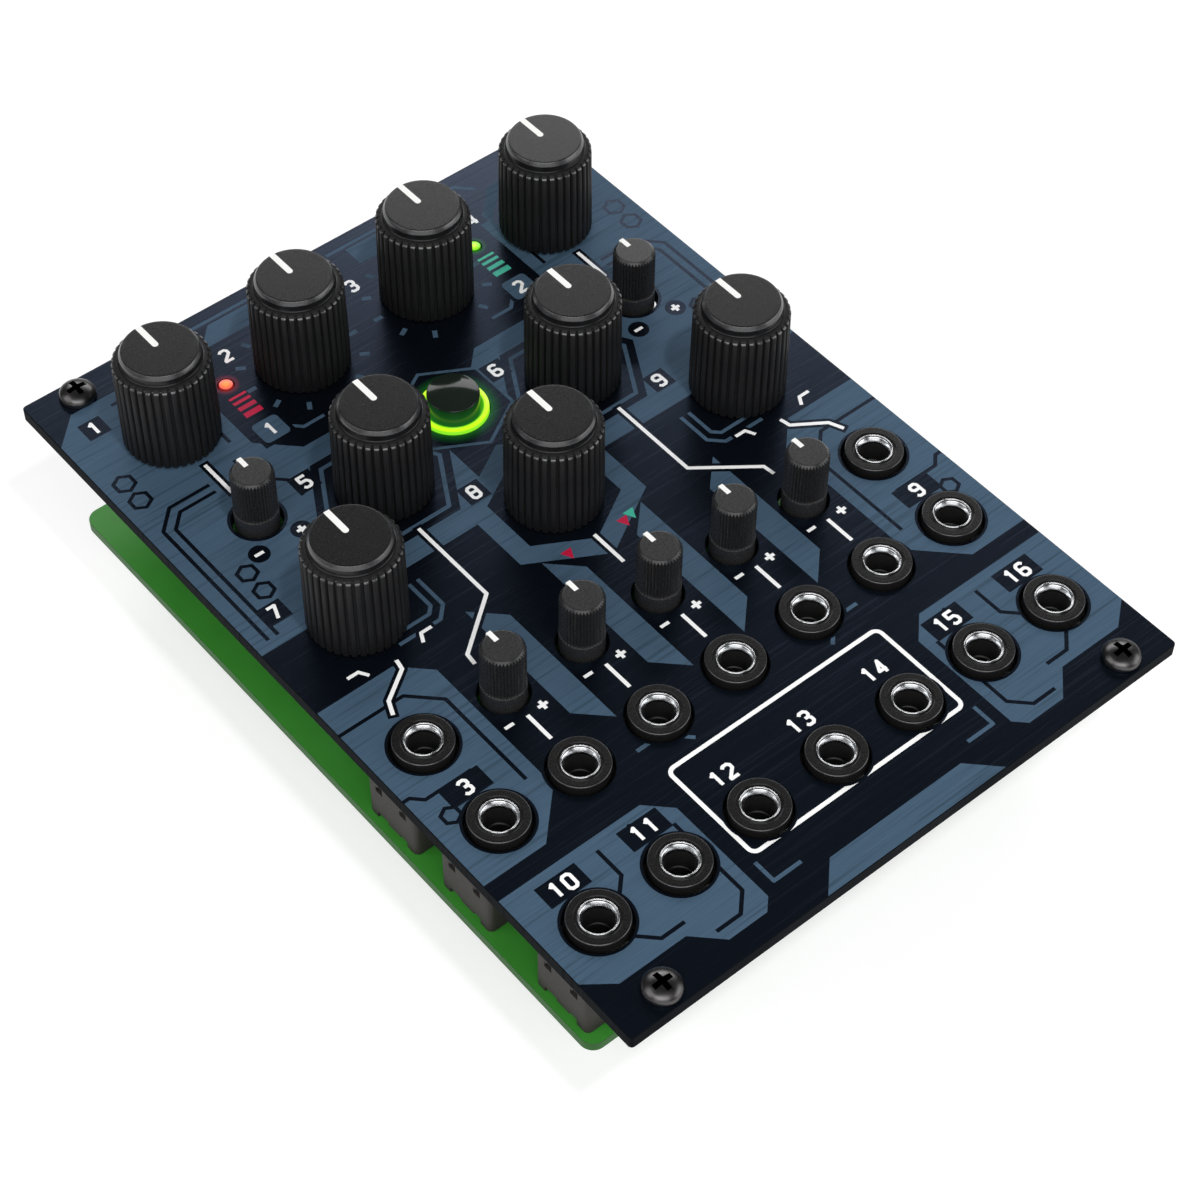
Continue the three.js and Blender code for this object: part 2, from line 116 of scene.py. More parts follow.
# %% Camera
CAMERA_AT = Vector((-156.97, -187.999, 282.702))
CAMERA_RIGHT = Vector((0.767127, -0.641437, 0.008673))
CAMERA_UP = Vector((0.490619, 0.59536, 0.63627))
CAMERA_BACK = Vector((-0.41329, -0.483844, 0.771418))
FOCAL_LENGTH, SENSOR, NEAR = 84.6914, 36, 10


def show(name, data):
    """A new object in the scene."""
    made = bpy.data.objects.new(name, data)
    bpy.context.scene.collection.objects.link(made)
    return made


lens = bpy.data.cameras.new("camera")
lens.sensor_width = SENSOR
lens.lens = FOCAL_LENGTH
lens.clip_start = NEAR * MM
camera = show("camera", lens)
turn = Matrix((CAMERA_RIGHT, CAMERA_UP, CAMERA_BACK)).transposed()
camera.matrix_world = Matrix.Translation(CAMERA_AT * MM) @ turn.to_4x4()
bpy.context.scene.camera = camera
print("camera", round(CAMERA_AT.length), "mm from the panel's middle")

# %% [markdown]
# ## From sizes to a mesh
# A shell is a list of points, faces and finish numbers. Most pieces of the module are turned on a
# lathe or cut from sheet and bar, so two builders make nearly all of them: one turns a profile about
# the axis, and one stacks outlines. Joined shells keep one name.

# %% Shells and pieces
def band(finish, base, *points):
    """A stretch of a lathe profile in one finish; its heights count from a base."""
    return [(radius, base + rise, finish) for radius, rise in points]


def turned(profile, sides, radius_at=None, turns=None):
    """A solid turned about Z from (radius, height, finish) up the outside."""
    turns = turns or [2 * math.pi * column / sides for column in range(sides)]
    points, faces, choices, rings = [], [], [], []
    closed = profile[0][:2] == profile[-1][:2]
    for radius, height, _ in profile[:-1] if closed else profile:
        if radius == 0:
            rings.append([len(points)] * sides)
            points.append((0, 0, height))
            continue
        rings.append(list(range(len(points), len(points) + sides)))
        for column, angle in enumerate(turns):
            reach = radius_at(column, radius, height) if radius_at else radius
            points.append((reach * math.cos(angle), reach * math.sin(angle), height))
    if closed:
        rings.append(rings[0])
    for lower, upper, entry in zip(rings, rings[1:], profile):
        for i in range(sides):
            after = (i + 1) % sides
            faces.append(tuple(dict.fromkeys([lower[i], lower[after], upper[after], upper[i]])))
            choices.append(entry[2])
    return points, faces, choices


def stacked(levels, finish=0, cap_finish=None):
    """A solid from outlines with the same number of points, each at a height, from low to high."""
    points = [(x, y, height) for outline, height in levels for x, y in outline]
    count = len(levels[0][0])
    faces = [(base + i, base + (i + 1) % count, base + count + (i + 1) % count, base + count + i)
             for base in range(0, len(points) - count, count) for i in range(count)]
    choices = [finish] * len(faces) + [finish if cap_finish is None else cap_finish] * 2
    faces.append(tuple(reversed(range(count))))
    faces.append(tuple(range(len(points) - count, len(points))))
    return points, faces, choices


def moved(shell, x=0, y=0, z=0):
    points, faces, choices = shell
    return [(a + x, b + y, c + z) for a, b, c in points], faces, choices


def joined(shells):
    points, faces, choices = [], [], []
    for shell in shells:
        faces += [tuple(len(points) + i for i in face) for face in shell[1]]
        points += shell[0]
        choices += shell[2]
    return points, faces, choices


def mesh_of(name, shell, finishes, crease=40):
    """A mesh in metres. Edges sharper than the crease, in degrees, stay sharp."""
    points, faces, choices = shell
    mesh = bpy.data.meshes.new(name)
    mesh.from_pydata([Vector(point) * MM for point in points], [], faces)
    for finish in finishes:
        mesh.materials.append(finish)
    mesh.polygons.foreach_set("material_index", choices)
    mesh.shade_smooth()
    mesh.set_sharp_from_angle(angle=math.radians(crease))
    return mesh


def put(name, mesh, at=(0, 0), body=MODULE, stands_for=()):
    """Shows a mesh as a piece of the module, riding on a body."""
    piece = show(name, mesh)
    piece.location = (at[0] * MM, at[1] * MM, 0)
    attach(piece, body)
    if stands_for:
        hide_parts(*stands_for)


# %% [markdown]
# ## Outlines
# Printed areas, the board, the housings and the chips all start as flat outlines. An outline is a
# list of points that runs anticlockwise, and its corners are rounded by real arcs.

# %% Outlines
def arc(x, y, radius, first, sweep, steps):
    """Points on a circle from one angle through a sweep."""
    turns = [first + sweep * step / steps for step in range(steps + 1)]
    return [(x + radius * math.cos(turn), y + radius * math.sin(turn)) for turn in turns]


def circle(x, y, radius, sides=64):
    return arc(x, y, radius, 0, 2 * math.pi, sides)[:-1]


def box_outline(low, high):
    return [(low[0], low[1]), (high[0], low[1]), (high[0], high[1]), (low[0], high[1])]


def rectangle(x, y, width, height):
    return box_outline((x - width / 2, y - height / 2), (x + width / 2, y + height / 2))


def rounded(outline, radius, steps=6):
    """An outline whose corners are arcs of one radius."""
    path = []
    for i, corner in enumerate(outline):
        here = Vector(corner)
        before = (Vector(outline[i - 1]) - here).normalized()
        after = (Vector(outline[(i + 1) % len(outline)]) - here).normalized()
        half = before.angle(after) / 2
        middle = here + (before + after).normalized() * (radius / math.sin(half))
        start, end = (here + way * (radius / math.tan(half)) - middle for way in (before, after))
        first = math.atan2(start.y, start.x)
        sweep = (math.atan2(end.y, end.x) - first + math.pi) % (2 * math.pi) - math.pi
        path += arc(middle.x, middle.y, radius, first, sweep, steps)
    return path


def inset(outline, distance):
    """An outline with every side moved inwards."""
    path = []
    for i, corner in enumerate(outline):
        here = Vector(corner)
        first = (here - Vector(outline[i - 1])).normalized()
        second = (Vector(outline[(i + 1) % len(outline)]) - here).normalized()
        inward = Vector((-first.y - second.y, first.x + second.x))
        shift = inward * (2 * distance / inward.length_squared)
        path.append((here.x + shift.x, here.y + shift.y))
    return path


def bevelled(outline, low, high, bevel, finish=0, cap_finish=None):
    """A bar cut from an outline, with its long edges broken."""
    inner = inset(outline, bevel)
    levels = [(inner, low), (outline, low + bevel), (outline, high - bevel), (inner, high)]
    return stacked(levels, finish, cap_finish)


def straight(start, end, width):
    """A straight stroke with square ends."""
    side = (Vector(end) - Vector(start)).normalized() * (width / 2)
    return [(start[0] + side.y, start[1] - side.x), (end[0] + side.y, end[1] - side.x),
            (end[0] - side.y, end[1] + side.x), (start[0] - side.y, start[1] + side.x)]


def stroke(path, width):
    """A line with square ends and round bends, as a list of outlines."""
    bends = path[1:] if path[0] == path[-1] else path[1:-1]
    lines = [straight(start, end, width) for start, end in zip(path, path[1:])]
    return lines + [circle(x, y, width / 2, 16) for x, y in bends]


def lengthened(path, extra):
    """A line carried on past both of its ends."""
    first, second, *_, fourth, last = [Vector(point) for point in path[:2] + path[-2:]]
    return ([tuple(first + (first - second).normalized() * extra)] + path[1:-1]
            + [tuple(last + (last - fourth).normalized() * extra)])


def shifted(path, x, y):
    return [(x + a, y + b) for a, b in path]


def mirrored(path):
    return [(-x, y) for x, y in path]


# %% [markdown]
# ## Colours and nodes
# Colours are the hex values that a picture editor shows, and one function turns them to the linear
# values that a renderer needs. One function adds any node, sets what is a value and links what is a
# socket. Every finish here is one fine pattern that drives colour, gloss and relief together, as it
# does on a real surface, so one function links those three.

# %% Colours and nodes
MIX_A, MIX_B, MIX_OUT = 6, 7, 2


def linear(code):
    """The linear colour of an sRGB hex value."""
    parts = [int(code[i:i + 2], 16) / 255 for i in (1, 3, 5)]
    return [p / 12.92 if p <= 0.04045 else ((p + 0.055) / 1.055) ** 2.4 for p in parts] + [1]


def add(tree, kind, inputs=None, **settings):
    node = tree.nodes.new(kind)
    for name, value in settings.items():
        setattr(node, name, value)
    for name, value in (inputs or {}).items():
        if isinstance(value, bpy.types.NodeSocket):
            tree.links.new(value, node.inputs[name])
        else:
            node.inputs[name].default_value = value
    return node


def start_material(name, **values):
    """A new material, with the shader's own values set."""
    made = bpy.data.materials.new(name)
    made.use_nodes = True
    for key, value in values.items():
        shader_of(made).inputs[key.replace("_", " ")].default_value = value
    return made


def shader_of(made):
    return made.node_tree.nodes["Principled BSDF"]


def grain_of(tree, sizes, detail, roughness=0.5):
    """Noise whose spots have these sizes along X, Y and Z, in millimetres."""
    place = add(tree, "ShaderNodeTexCoord")
    scale = [1 / (size * MM) for size in sizes]
    stretch = add(tree, "ShaderNodeMapping", {"Vector": place.outputs["Object"], "Scale": scale})
    return add(tree, "ShaderNodeTexNoise", {
        "Vector": stretch.outputs["Vector"], "Scale": 1.0, "Detail": detail,
        "Roughness": roughness}).outputs["Fac"]


def surfaced(made, pattern, colours, roughness, share=None, span=(0.3, 0.7), relief=0.3,
             depth=0.03, height=None):
    """Links a pattern to colour, gloss and relief.

    The pattern itself is the share of the second colour, or that share grows between the first
    two values of share to the third. Over the span the roughness goes from one value to the next.
    """
    tree, shader, part = made.node_tree, shader_of(made), pattern
    if share:
        part = add(tree, "ShaderNodeMapRange", {
            "Value": pattern, "From Min": share[0], "From Max": share[1],
            "To Max": share[2]}).outputs["Result"]
    blend = add(tree, "ShaderNodeMix", {
        0: part, MIX_A: linear(colours[0]), MIX_B: linear(colours[1])}, data_type="RGBA")
    gloss = add(tree, "ShaderNodeMapRange", {
        "Value": pattern, "From Min": span[0], "From Max": span[1],
        "To Min": roughness[0], "To Max": roughness[1]})
    bump = add(tree, "ShaderNodeBump", {
        "Height": height or pattern, "Strength": relief, "Distance": depth * MM})
    tree.links.new(blend.outputs[MIX_OUT], shader.inputs["Base Color"])
    tree.links.new(gloss.outputs["Result"], shader.inputs["Roughness"])
    tree.links.new(bump.outputs["Normal"], shader.inputs["Normal"])
    return made


# %% [markdown]
# ## Anodised and printed aluminium
# The panel is an aluminium sheet, brushed along its width, then anodised and printed. The brush
# leaves scratches about 0.3 mm apart and a few centimetres long, which show through every ink as
# dark lines and stretch a lamp's reflection across them. A noise stretched along the width draws
# them. One cell of noise holds only 0.6 of a line, so the spacing is divided by that.

# %% Brushed inks
ANODISED_SHEEN = "#9dc1ff"
LINES_PER_CELL = 0.6
SCRATCHES = (22, 0.32 / LINES_PER_CELL, 22)
FINE_GRAIN = (9, 0.14 / LINES_PER_CELL, 9)


def brushed_ink(name, colour, scratch_colour, roughness=0.22, strength=1.0, gloss_level=0.38):
    made = start_material(
        name, IOR=1.5, Specular_IOR_Level=gloss_level, Specular_Tint=linear(ANODISED_SHEEN))
    tree = made.node_tree
    layers = []
    for sizes, low, high, share in ((SCRATCHES, 0.5, 0.68, 0.7), (FINE_GRAIN, 0.35, 0.75, 0.35)):
        layers.append(add(tree, "ShaderNodeMapRange", {
            "Value": grain_of(tree, sizes, 2.0, 0.55), "From Min": low, "From Max": high,
            "To Max": share * strength}).outputs["Result"])
    both = add(tree, "ShaderNodeMath", {0: layers[0], 1: layers[1]}, operation="MAXIMUM")
    return surfaced(made, both.outputs[0], (colour, scratch_colour), (roughness, roughness + 0.15),
                    span=(0, 1), relief=0.15, depth=-0.02)


NAVY = ("#080c12", "#030508")
navy_ink = brushed_ink("navy_anodised_aluminium", *NAVY)
slate_ink = brushed_ink(
    "slate_print_on_brushed_aluminium", "#455b6f", "#30424f", roughness=0.45, gloss_level=0.15)
white_ink = brushed_ink("white_print_on_brushed_aluminium", "#fafaf9", "#ebecec", strength=0.4)
red_ink = brushed_ink("red_print_on_brushed_aluminium", "#c41c40", "#8f1430", strength=0.6)
teal_ink = brushed_ink("teal_print_on_brushed_aluminium", "#45b79b", "#2f8a74", strength=0.6)
edge_finish = brushed_ink(
    "dark_anodised_sheet_edge", "#0f1215", "#0a0c0e", roughness=0.6, gloss_level=0.03)
print("finishes", len(bpy.data.materials))

# %% [markdown]
# ## Moulded plastics
# A moulded skin is never a flat black: its steel mould was eroded or blasted, so the skin has a fine
# grain that breaks up the gloss. Noise cells at the grain's real size, from 0.08 to 0.25 mm, drive a
# small relief and the colour.

# %% Moulded plastics
def moulded(name, colour, spot_colour, grain, roughness, relief=0.3, gloss_level=0.5):
    """ABS or similar with a blasted skin; grain is the size of its spots in millimetres."""
    made = start_material(name, IOR=1.53, Specular_IOR_Level=gloss_level)
    skin = grain_of(made.node_tree, [grain] * 3, 3.0)
    return surfaced(made, skin, (colour, spot_colour), (roughness - 0.06, roughness + 0.06),
                    share=(0.38, 0.64, 0.5), relief=relief)


knob_abs = moulded("blasted_black_abs", "#161617", "#1b1b1c", 0.12, 0.24, gloss_level=0.25)
# The skirt is the same black ABS as the cap; its lighter black is painted light on the upright ribs.
skirt_abs_painted_light = moulded("ribbed_black_abs_skirt_painted_light", "#212122", "#272728", 0.12, 0.5, gloss_level=0.12)
# A lighter black with full gloss: a painted highlight for bevels, rims and rib ends.
highlight_painted_abs = moulded("polished_black_abs_painted_highlight", "#29292b", "#2e2e30", 0.12, 0.3, 0.1, 1.0)
soft_touch = moulded("soft_touch_dark_grey", "#272728", "#303031", 0.16, 0.28, 0.4, 0.35)
jack_nylon = moulded("black_nylon_boss", "#171616", "#1d1c1b", 0.2, 0.3, gloss_level=0.25)
housing_nylon = moulded("warm_grey_nylon_housing", "#35322f", "#3b3835", 0.25, 0.6, 0.3, 0.25)
pot_resin = moulded("black_phenolic_resin", "#1c1b1b", "#262524", 0.1, 0.5)
header_pbt = moulded("black_pbt_header", "#171717", "#222222", 0.12, 0.48)
chip_epoxy = moulded("black_chip_epoxy", "#1b1c1d", "#252627", 0.08, 0.6)
part_ceramic = moulded("tan_ceramic", "#9c8a6c", "#86755a", 0.1, 0.5)
pad_print = moulded("white_pad_print", "#f4f4f1", "#e9e9e6", 0.15, 0.45, relief=0.1)
print("finishes", len(bpy.data.materials))

# %% [markdown]
# ## Metals
# A polished chrome sleeve mirrors the lamps, stamped steel has rolling marks, and black nickel is a
# dim, slightly cloudy mirror. All keep the default IOR and are fully metallic, so their colour is
# the colour of what they reflect.

# %% Metals
def metal(name, colour, dull_colour, roughness, cloud, relief=0.05):
    """A bare or plated metal; cloud is the size of its dull patches in millimetres."""
    made = start_material(name, Metallic=1.0)
    patches = grain_of(made.node_tree, [cloud] * 3, 4.0)
    return surfaced(made, patches, (colour, dull_colour), (roughness * 0.8, roughness * 1.25),
                    relief=relief, depth=0.02)


chrome = metal("polished_chrome", "#dfe1e3", "#d8dadc", 0.2, 0.8, relief=0.01)
stamped_steel = metal("stamped_tinned_steel", "#b9babb", "#a3a5a7", 0.32, 0.5, relief=0.2)
black_nickel = metal("black_nickel_plate", "#605e5e", "#545353", 0.3, 1.5, relief=0.02)
# Near-black: painted shade inside the screws' cross recess.
recess_painted_shade = metal("painted_shade_screw_recess", "#0c0c0c", "#070707", 0.6, 0.5)
solder = metal("solder_tin", "#c9cbcc", "#aeb1b3", 0.22, 0.4, relief=0.15)
gold_plate = metal("gold_flashed_pins", "#d9b763", "#c7a552", 0.22, 0.4)
print("finishes", len(bpy.data.materials))

# %% [markdown]
# ## Glossy black plastic
# The button is polished black acrylic, so its gloss varies only a little over its face; its black
# is tinted green as painted light of the lit ring. Its side is smoked acrylic, and near its foot a
# painted green glow that fades with height stands for the ring's light shining through it.

# %% Glossy plastic
def polished(name, colour, **values):
    """Acrylic with a little haze in its gloss."""
    made = start_material(
        name, IOR=1.49, Specular_IOR_Level=0.26, Base_Color=linear(colour), **values)
    tree = made.node_tree
    gloss = add(tree, "ShaderNodeMapRange", {
        "Value": grain_of(tree, [1.5] * 3, 3.0), "From Min": 0.3, "From Max": 0.7,
        "To Min": 0.07, "To Max": 0.13})
    tree.links.new(gloss.outputs["Result"], shader_of(made).inputs["Roughness"])
    return made


def smoked_side(low, high):
    """The cap's smoked side, with a painted glow of the ring's light near its foot that fades upwards.
    """
    made = polished("acrylic_side_painted_ring_glow", "#0f1610", Emission_Strength=1.0)
    tree = made.node_tree
    place = add(tree, "ShaderNodeTexCoord")
    split = add(tree, "ShaderNodeSeparateXYZ", {0: place.outputs["Object"]})
    rise = add(tree, "ShaderNodeMapRange", {
        "Value": split.outputs["Z"], "From Min": low * MM, "From Max": high * MM})
    # Painted glow colours: a brighter green at the foot, a darker one higher up.
    glow = add(tree, "ShaderNodeMix", {
        0: rise.outputs["Result"], MIX_A: linear("#17581a"), MIX_B: linear("#09300f")},
        data_type="RGBA")
    tree.links.new(glow.outputs[MIX_OUT], shader_of(made).inputs["Emission Color"])
    return made


# Its black is tinted green: painted light of the lit ring.
painted_green_gloss_acrylic = polished("polished_black_acrylic_painted_green", "#1b231d")
painted_glow_acrylic = smoked_side(panel_front + 0.4, panel_front + 3.1)
print("finishes", len(bpy.data.materials))

# %% [markdown]
# ## Lit plastics
# The ring and the lamps are translucent plastic with a light behind them: brightest in the middle
# of the light guide and deeper in colour at its edges, so the colour follows the distance from the
# axis. The same function paints a glow into the navy ink around them: a painted halo of their light.

# %% Lit plastics
def shining(made, stops, middle=(0, 0)):
    """Light whose colour follows the distance from an axis; stops are (millimetres, colour)."""
    tree = made.node_tree
    place = add(tree, "ShaderNodeTexCoord")
    away = add(tree, "ShaderNodeVectorMath", {
        0: place.outputs["Object"], 1: (middle[0] * MM, middle[1] * MM, 0)}, operation="SUBTRACT")
    flat = add(tree, "ShaderNodeVectorMath", {
        0: away.outputs["Vector"], 1: (1, 1, 0)}, operation="MULTIPLY")
    reach = add(tree, "ShaderNodeVectorMath", {0: flat.outputs["Vector"]}, operation="LENGTH")
    glow = linear(stops[0][1])
    for (inner, _), (outer, colour) in zip(stops, stops[1:]):
        share = add(tree, "ShaderNodeMapRange", {
            "Value": reach.outputs["Value"], "From Min": inner * MM, "From Max": outer * MM},
            interpolation_type="SMOOTHSTEP")
        glow = add(tree, "ShaderNodeMix", {
            0: share.outputs["Result"], MIX_A: glow, MIX_B: linear(colour)},
            data_type="RGBA").outputs[MIX_OUT]
    tree.links.new(glow, shader_of(made).inputs["Emission Color"])
    return made


def lit(name, base, stops, strength=1.0):
    made = start_material(name, IOR=1.49, Roughness=0.3, Emission_Strength=strength,
                          Base_Color=linear(base))
    return shining(made, stops)


def lit_navy(name, at, stops):
    """Navy ink round a lit piece, with a painted glow of its light that fades outwards."""
    made = brushed_ink(name, *NAVY)
    shader_of(made).inputs["Emission Strength"].default_value = 1.0
    return shining(made, stops, at)


ring_acrylic = lit("lit_lime_light_guide", "#2c4a10", [
    (3.9, "#2c7a08"), (4.12, "#4fb80a"), (4.24, "#c4ff20"), (4.78, "#cdfb12"), (4.92, "#7fe028")], 1.1)
red_lens = lit("lit_red_lens", "#30100c", [
    (0.25, "#ff9c46"), (0.6, "#ff7e4a"), (0.9, "#f86e60"), (0.98, "#8c1814")])
green_lens = lit("lit_green_lens", "#16300a", [
    (0.25, "#d6ff38"), (0.6, "#a6f41e"), (0.9, "#7fe01a"), (0.98, "#1c6a0c")])
RED_HALO, GREEN_HALO, RING_HALO = 2.1, 2.0, 6.7
red_halo_painted_ink = lit_navy("navy_painted_red_halo", red_spot, [
    (1.05, "#9c1c20"), (1.35, "#54121c"), (RED_HALO, "#000000")])
green_halo_painted_ink = lit_navy("navy_painted_green_halo", green_spot, [
    (1.05, "#1f6a10"), (1.35, "#0f3c10"), (GREEN_HALO, "#000000")])
ring_halo_painted_ink = lit_navy("navy_painted_lime_halo", button_spot, [
    (4.9, "#0f6010"), (5.6, "#093c0c"), (6.2, "#04200a"), (RING_HALO, "#000000")])
print("finishes", len(bpy.data.materials))

# %% [markdown]
# ## Circuit board finish
# The board is glass cloth in epoxy under a green solder mask. The mask is satin, a little uneven
# over the weave of the glass, whose bundles are about half a millimetre apart.

# %% Solder mask
WEAVE, CLOUD = 0.5, 6


def solder_mask(name, colour, light_colour, gloss_level=0.5):
    made = start_material(name, IOR=1.5, Specular_IOR_Level=gloss_level)
    tree = made.node_tree
    place = add(tree, "ShaderNodeTexCoord")
    split = add(tree, "ShaderNodeSeparateXYZ", {0: place.outputs["Object"]})
    waves = []
    for axis in "XY":
        phase = add(tree, "ShaderNodeMath", {
            0: split.outputs[axis], 1: 2 * math.pi / (WEAVE * MM)}, operation="MULTIPLY")
        waves.append(add(tree, "ShaderNodeMath", {0: phase.outputs[0]}, operation="SINE").outputs[0])
    weave = add(tree, "ShaderNodeMath", {0: waves[0], 1: waves[1]}, operation="MULTIPLY")
    return surfaced(made, grain_of(tree, [CLOUD] * 3, 3.0), (colour, light_colour), (0.38, 0.5),
                    span=(0, 1), relief=0.12, depth=0.01, height=weave.outputs[0])


mask_green = solder_mask("green_solder_mask", "#398c2e", "#429c37")
mask_edge = solder_mask("cut_board_edge", "#2c5f27", "#366f2f", gloss_level=0.12)
print("finishes", len(bpy.data.materials))

# %% [markdown]
# ## What is printed on the panel
# The print is a plain one: chamfered fields of slate on navy, hexagons, parallel stripes and numbers.
# Every ink is an outline with a colour, and where two lie on each other the later one wins. Numbers
# are drawn as strokes, as an engraver would draw them.

# %% Numbers as strokes
W, H = 1.2, 2.1
DIGIT_GAP, DIGIT_LINE, CUT, WAIST = 0.85, 0.48, 0.3, 0.52 * H
UPPER = [(0, H - CUT), (CUT, H), (W - CUT, H), (W, H - CUT)]
LOWER = [(W, CUT), (W - CUT, 0), (CUT, 0), (0, CUT)]
DIGITS = {
    "0": [UPPER + LOWER + UPPER[:1]],
    "1": [[(0.15 * W, 0.78 * H), (0.55 * W, H), (0.55 * W, 0)]],
    "2": [UPPER + [(W, 0.62 * H), (0, 0.08 * H), (0, 0), (W, 0)]],
    "3": [UPPER + [(W, WAIST + CUT), (W - CUT, WAIST), (0.35 * W, WAIST)],
          [(W - CUT, WAIST), (W, WAIST - CUT)] + LOWER],
    "4": [[(0.72 * W, 0), (0.72 * W, H), (0, 0.28 * H), (W, 0.28 * H)]],
    "5": [[(W, H), (0, H), (0, WAIST + 0.1), (W - CUT, WAIST + 0.1), (W, WAIST - CUT)] + LOWER],
    "6": [UPPER[::-1] + LOWER[::-1] + [(W, WAIST - CUT), (W - CUT, WAIST), (0, WAIST)]],
    "7": [[(0, H), (W, H), (0.35 * W, 0)]],
    "8": [UPPER + LOWER + UPPER[:1], [(0, WAIST), (W, WAIST)]],
    "9": [LOWER[::-1] + UPPER[::-1] + [(0, WAIST + CUT), (CUT, WAIST), (W, WAIST)]],
}
inks = []


def ink(colour, *outlines, both=False):
    """Prints outlines, on both halves of the panel if asked."""
    for outline in outlines:
        inks.append((colour, outline))
        if both:
            inks.append((colour, mirrored(outline)))


def number_at(number, x, y):
    """Prints a number in white, centred on a point."""
    text = str(number)
    left = x - (len(text) * W + (len(text) - 1) * DIGIT_GAP) / 2
    for place, digit in enumerate(text):
        for path in DIGITS[digit]:
            path = shifted(path, left + place * (W + DIGIT_GAP), y - H / 2)
            ink(white_ink, *stroke(path, DIGIT_LINE))


print("digits", len(DIGITS))

# %% Fields and stripes
SIDE, END = half_width + 1, half_height + 1
FIELDS = [
    [(25.2, 53), (25.2, 39), (20.2, 34), (9, 34), (5.4, 30.4), (5.4, 12.6), (9.8, 8.2), (SIDE, 8.2),
     (SIDE, 53.4), (41.2, 58.8), (31, 58.8)],
    [(29.8, -7.6), (33.8, -3.6), (SIDE, -3.6), (SIDE, -37), (36, -37), (29.8, -30.8)],
    [(20.4, -43), (23.6, -39.8), (SIDE, -39.8), (SIDE, -53.8), (41.8, -57.6), (31.6, -57.6),
     (28, -61.2), (22, -61.2), (20.4, -59.6)],
    [(17.05, -6.5), (21.2, -2.4), (21.2, -23.6), (17.05, -27.7)],
    [(4.3, -6.5), (8.45, -2.4), (8.45, -23.6), (4.3, -27.7)],
    [(0, -60.2), (11, -60.2), (16, -END), (0, -END)],
    [(7, 57.6), (20.6, 57.6), (17, 61.2), (7, 61.2)],
]
STRIPE = 0.55
NAVY_STRIPES = [
    [(43.4, 9.8), (43.4, 33.4), (40.4, 36.4), (34, 36.4)],
    [(41.9, 9.8), (41.9, 32.7), (39.7, 34.9), (34, 34.9)],
    [(27.4, 41), (27.4, 52.4), (31.8, 56.8), (36, 56.8)],
    [(28.9, 38), (28.9, 34), (25.4, 30.5), (25.4, 27)],
    [(SIDE, -8.2), (35.6, -8.2), (31.8, -12), (31.8, -28)],
    [(SIDE, -21.2), (44.6, -21.2), (43.2, -22.6), (36, -22.6)],
    [(22.2, -44.5), (22.2, -57), (24.6, -59.4), (28.4, -59.4)],
    [(30.4, -56), (34, -56), (36.4, -53.6)],
    [(31.9, -41.6), (31.9, -46.2), (34.6, -48.9)],
]
SLATE_STRIPES = [
    [(22.6, 5.8), (22.6, 0.4), (24.4, -1.4), (31, -1.4)],
    [(24, 5.8), (24, 1.2), (25, 0.2), (31, 0.2)],
    [(4, 61.9), (27, 61.9), (29.4, 59.5)],
    [(14.6, 37), (18, 37), (22.6, 41.6)],
    [(14, -58.4), (18.4, -58.4), (18.4, -55)],
    [(18.6, -33.4), (14.6, -33.4), (11.6, -36.4)],
]
ink(slate_ink, *FIELDS, both=True)
for colour, paths in ((navy_ink, NAVY_STRIPES), (slate_ink, SLATE_STRIPES)):
    for path in paths:
        ink(colour, *stroke(path, STRIPE), both=True)
print("fields and stripes", len(inks))


# %% Hexagons and dial ticks
def hexagon(x, y, radius, lean=0):
    return arc(x, y, radius, math.radians(lean), 2 * math.pi, 6)[:-1]


def hexagon_line(colour, inner, x, y, radius, line, lean=0):
    """A hexagon drawn as a line, with its inside in another ink."""
    ink(colour, hexagon(x, y, radius, lean))
    ink(inner, hexagon(x, y, radius - line, lean))


for side in (-1, 1):
    for x, y, radius in ((39, 20.6, 1.7), (39, 16.9, 1.7), (42.2, -26.4, 1.6),
                         (26.6, -42.6, 1.6), (42.6, 39.9, 1.8), (42.6, 43.7, 1.8)):
        hexagon_line(navy_ink, slate_ink, side * x, y, radius, 0.6, 30)
    ink(navy_ink, hexagon(side * 16.25, 21.2, 10.9))
    hexagon_line(slate_ink, navy_ink, side * 16.25, 21.2, 9.6, 0.7)
hexagon_line(slate_ink, navy_ink, 0, large_spots[7][1], 12.4, 3.4, 30)
hexagon_line(slate_ink, navy_ink, *button_spot, 8.4, 0.55, 30)
TICKS, TICK_INNER, TICK_OUTER, TICK_LINE = 11, 7.9, 9.3, 0.7
for x, y in large_spots[1:3]:
    near, far = (arc(x, y, reach, math.radians(240), -math.radians(300), TICKS - 1)
                 for reach in (TICK_INNER, TICK_OUTER))
    ink(slate_ink, *[straight(start, end, TICK_LINE) for start, end in zip(near, far)])
print("with hexagons and ticks", len(inks))

# %% [markdown]
# The marks that serve the player come last: level bars under the lamps, signs and lines between
# small knobs and sockets, numbers beside the controls and a frame round the three output sockets.

# %% Marks and numbers
BAR_LENGTH, BARS = 2.8, [(2.74, 0.42), (3.79, 0.55), (5.03, 0.75), (6.46, 1.0)]
BADGE, BADGE_EDGE, BADGE_DROP, BADGE_CORNER = 4.1, 0.6, 10.6, 0.7
LINE, SIGN_LINE, MARK_EDGE = 0.55, 0.5, 0.47
SMALL_RING, JACK_RING = 4.0, 4.85
SIGN_SIDE, SIGN_DROP, SIGN_ARM, SIGN_DISC = 3.4, 5.2, 0.7, 1.5
PLATE_RISE, JACK_PLATE, KNOB_PLATE_OFF, KNOB_PLATE = 6.55, (6.2, 3.5), 7.6, 3.4
FRAME = [(-18, -54.3), (18, -54.3), (18, -37.8), (-18, -37.8)]
FRAME_LINE, FRAME_CORNER = 0.6, 1.3
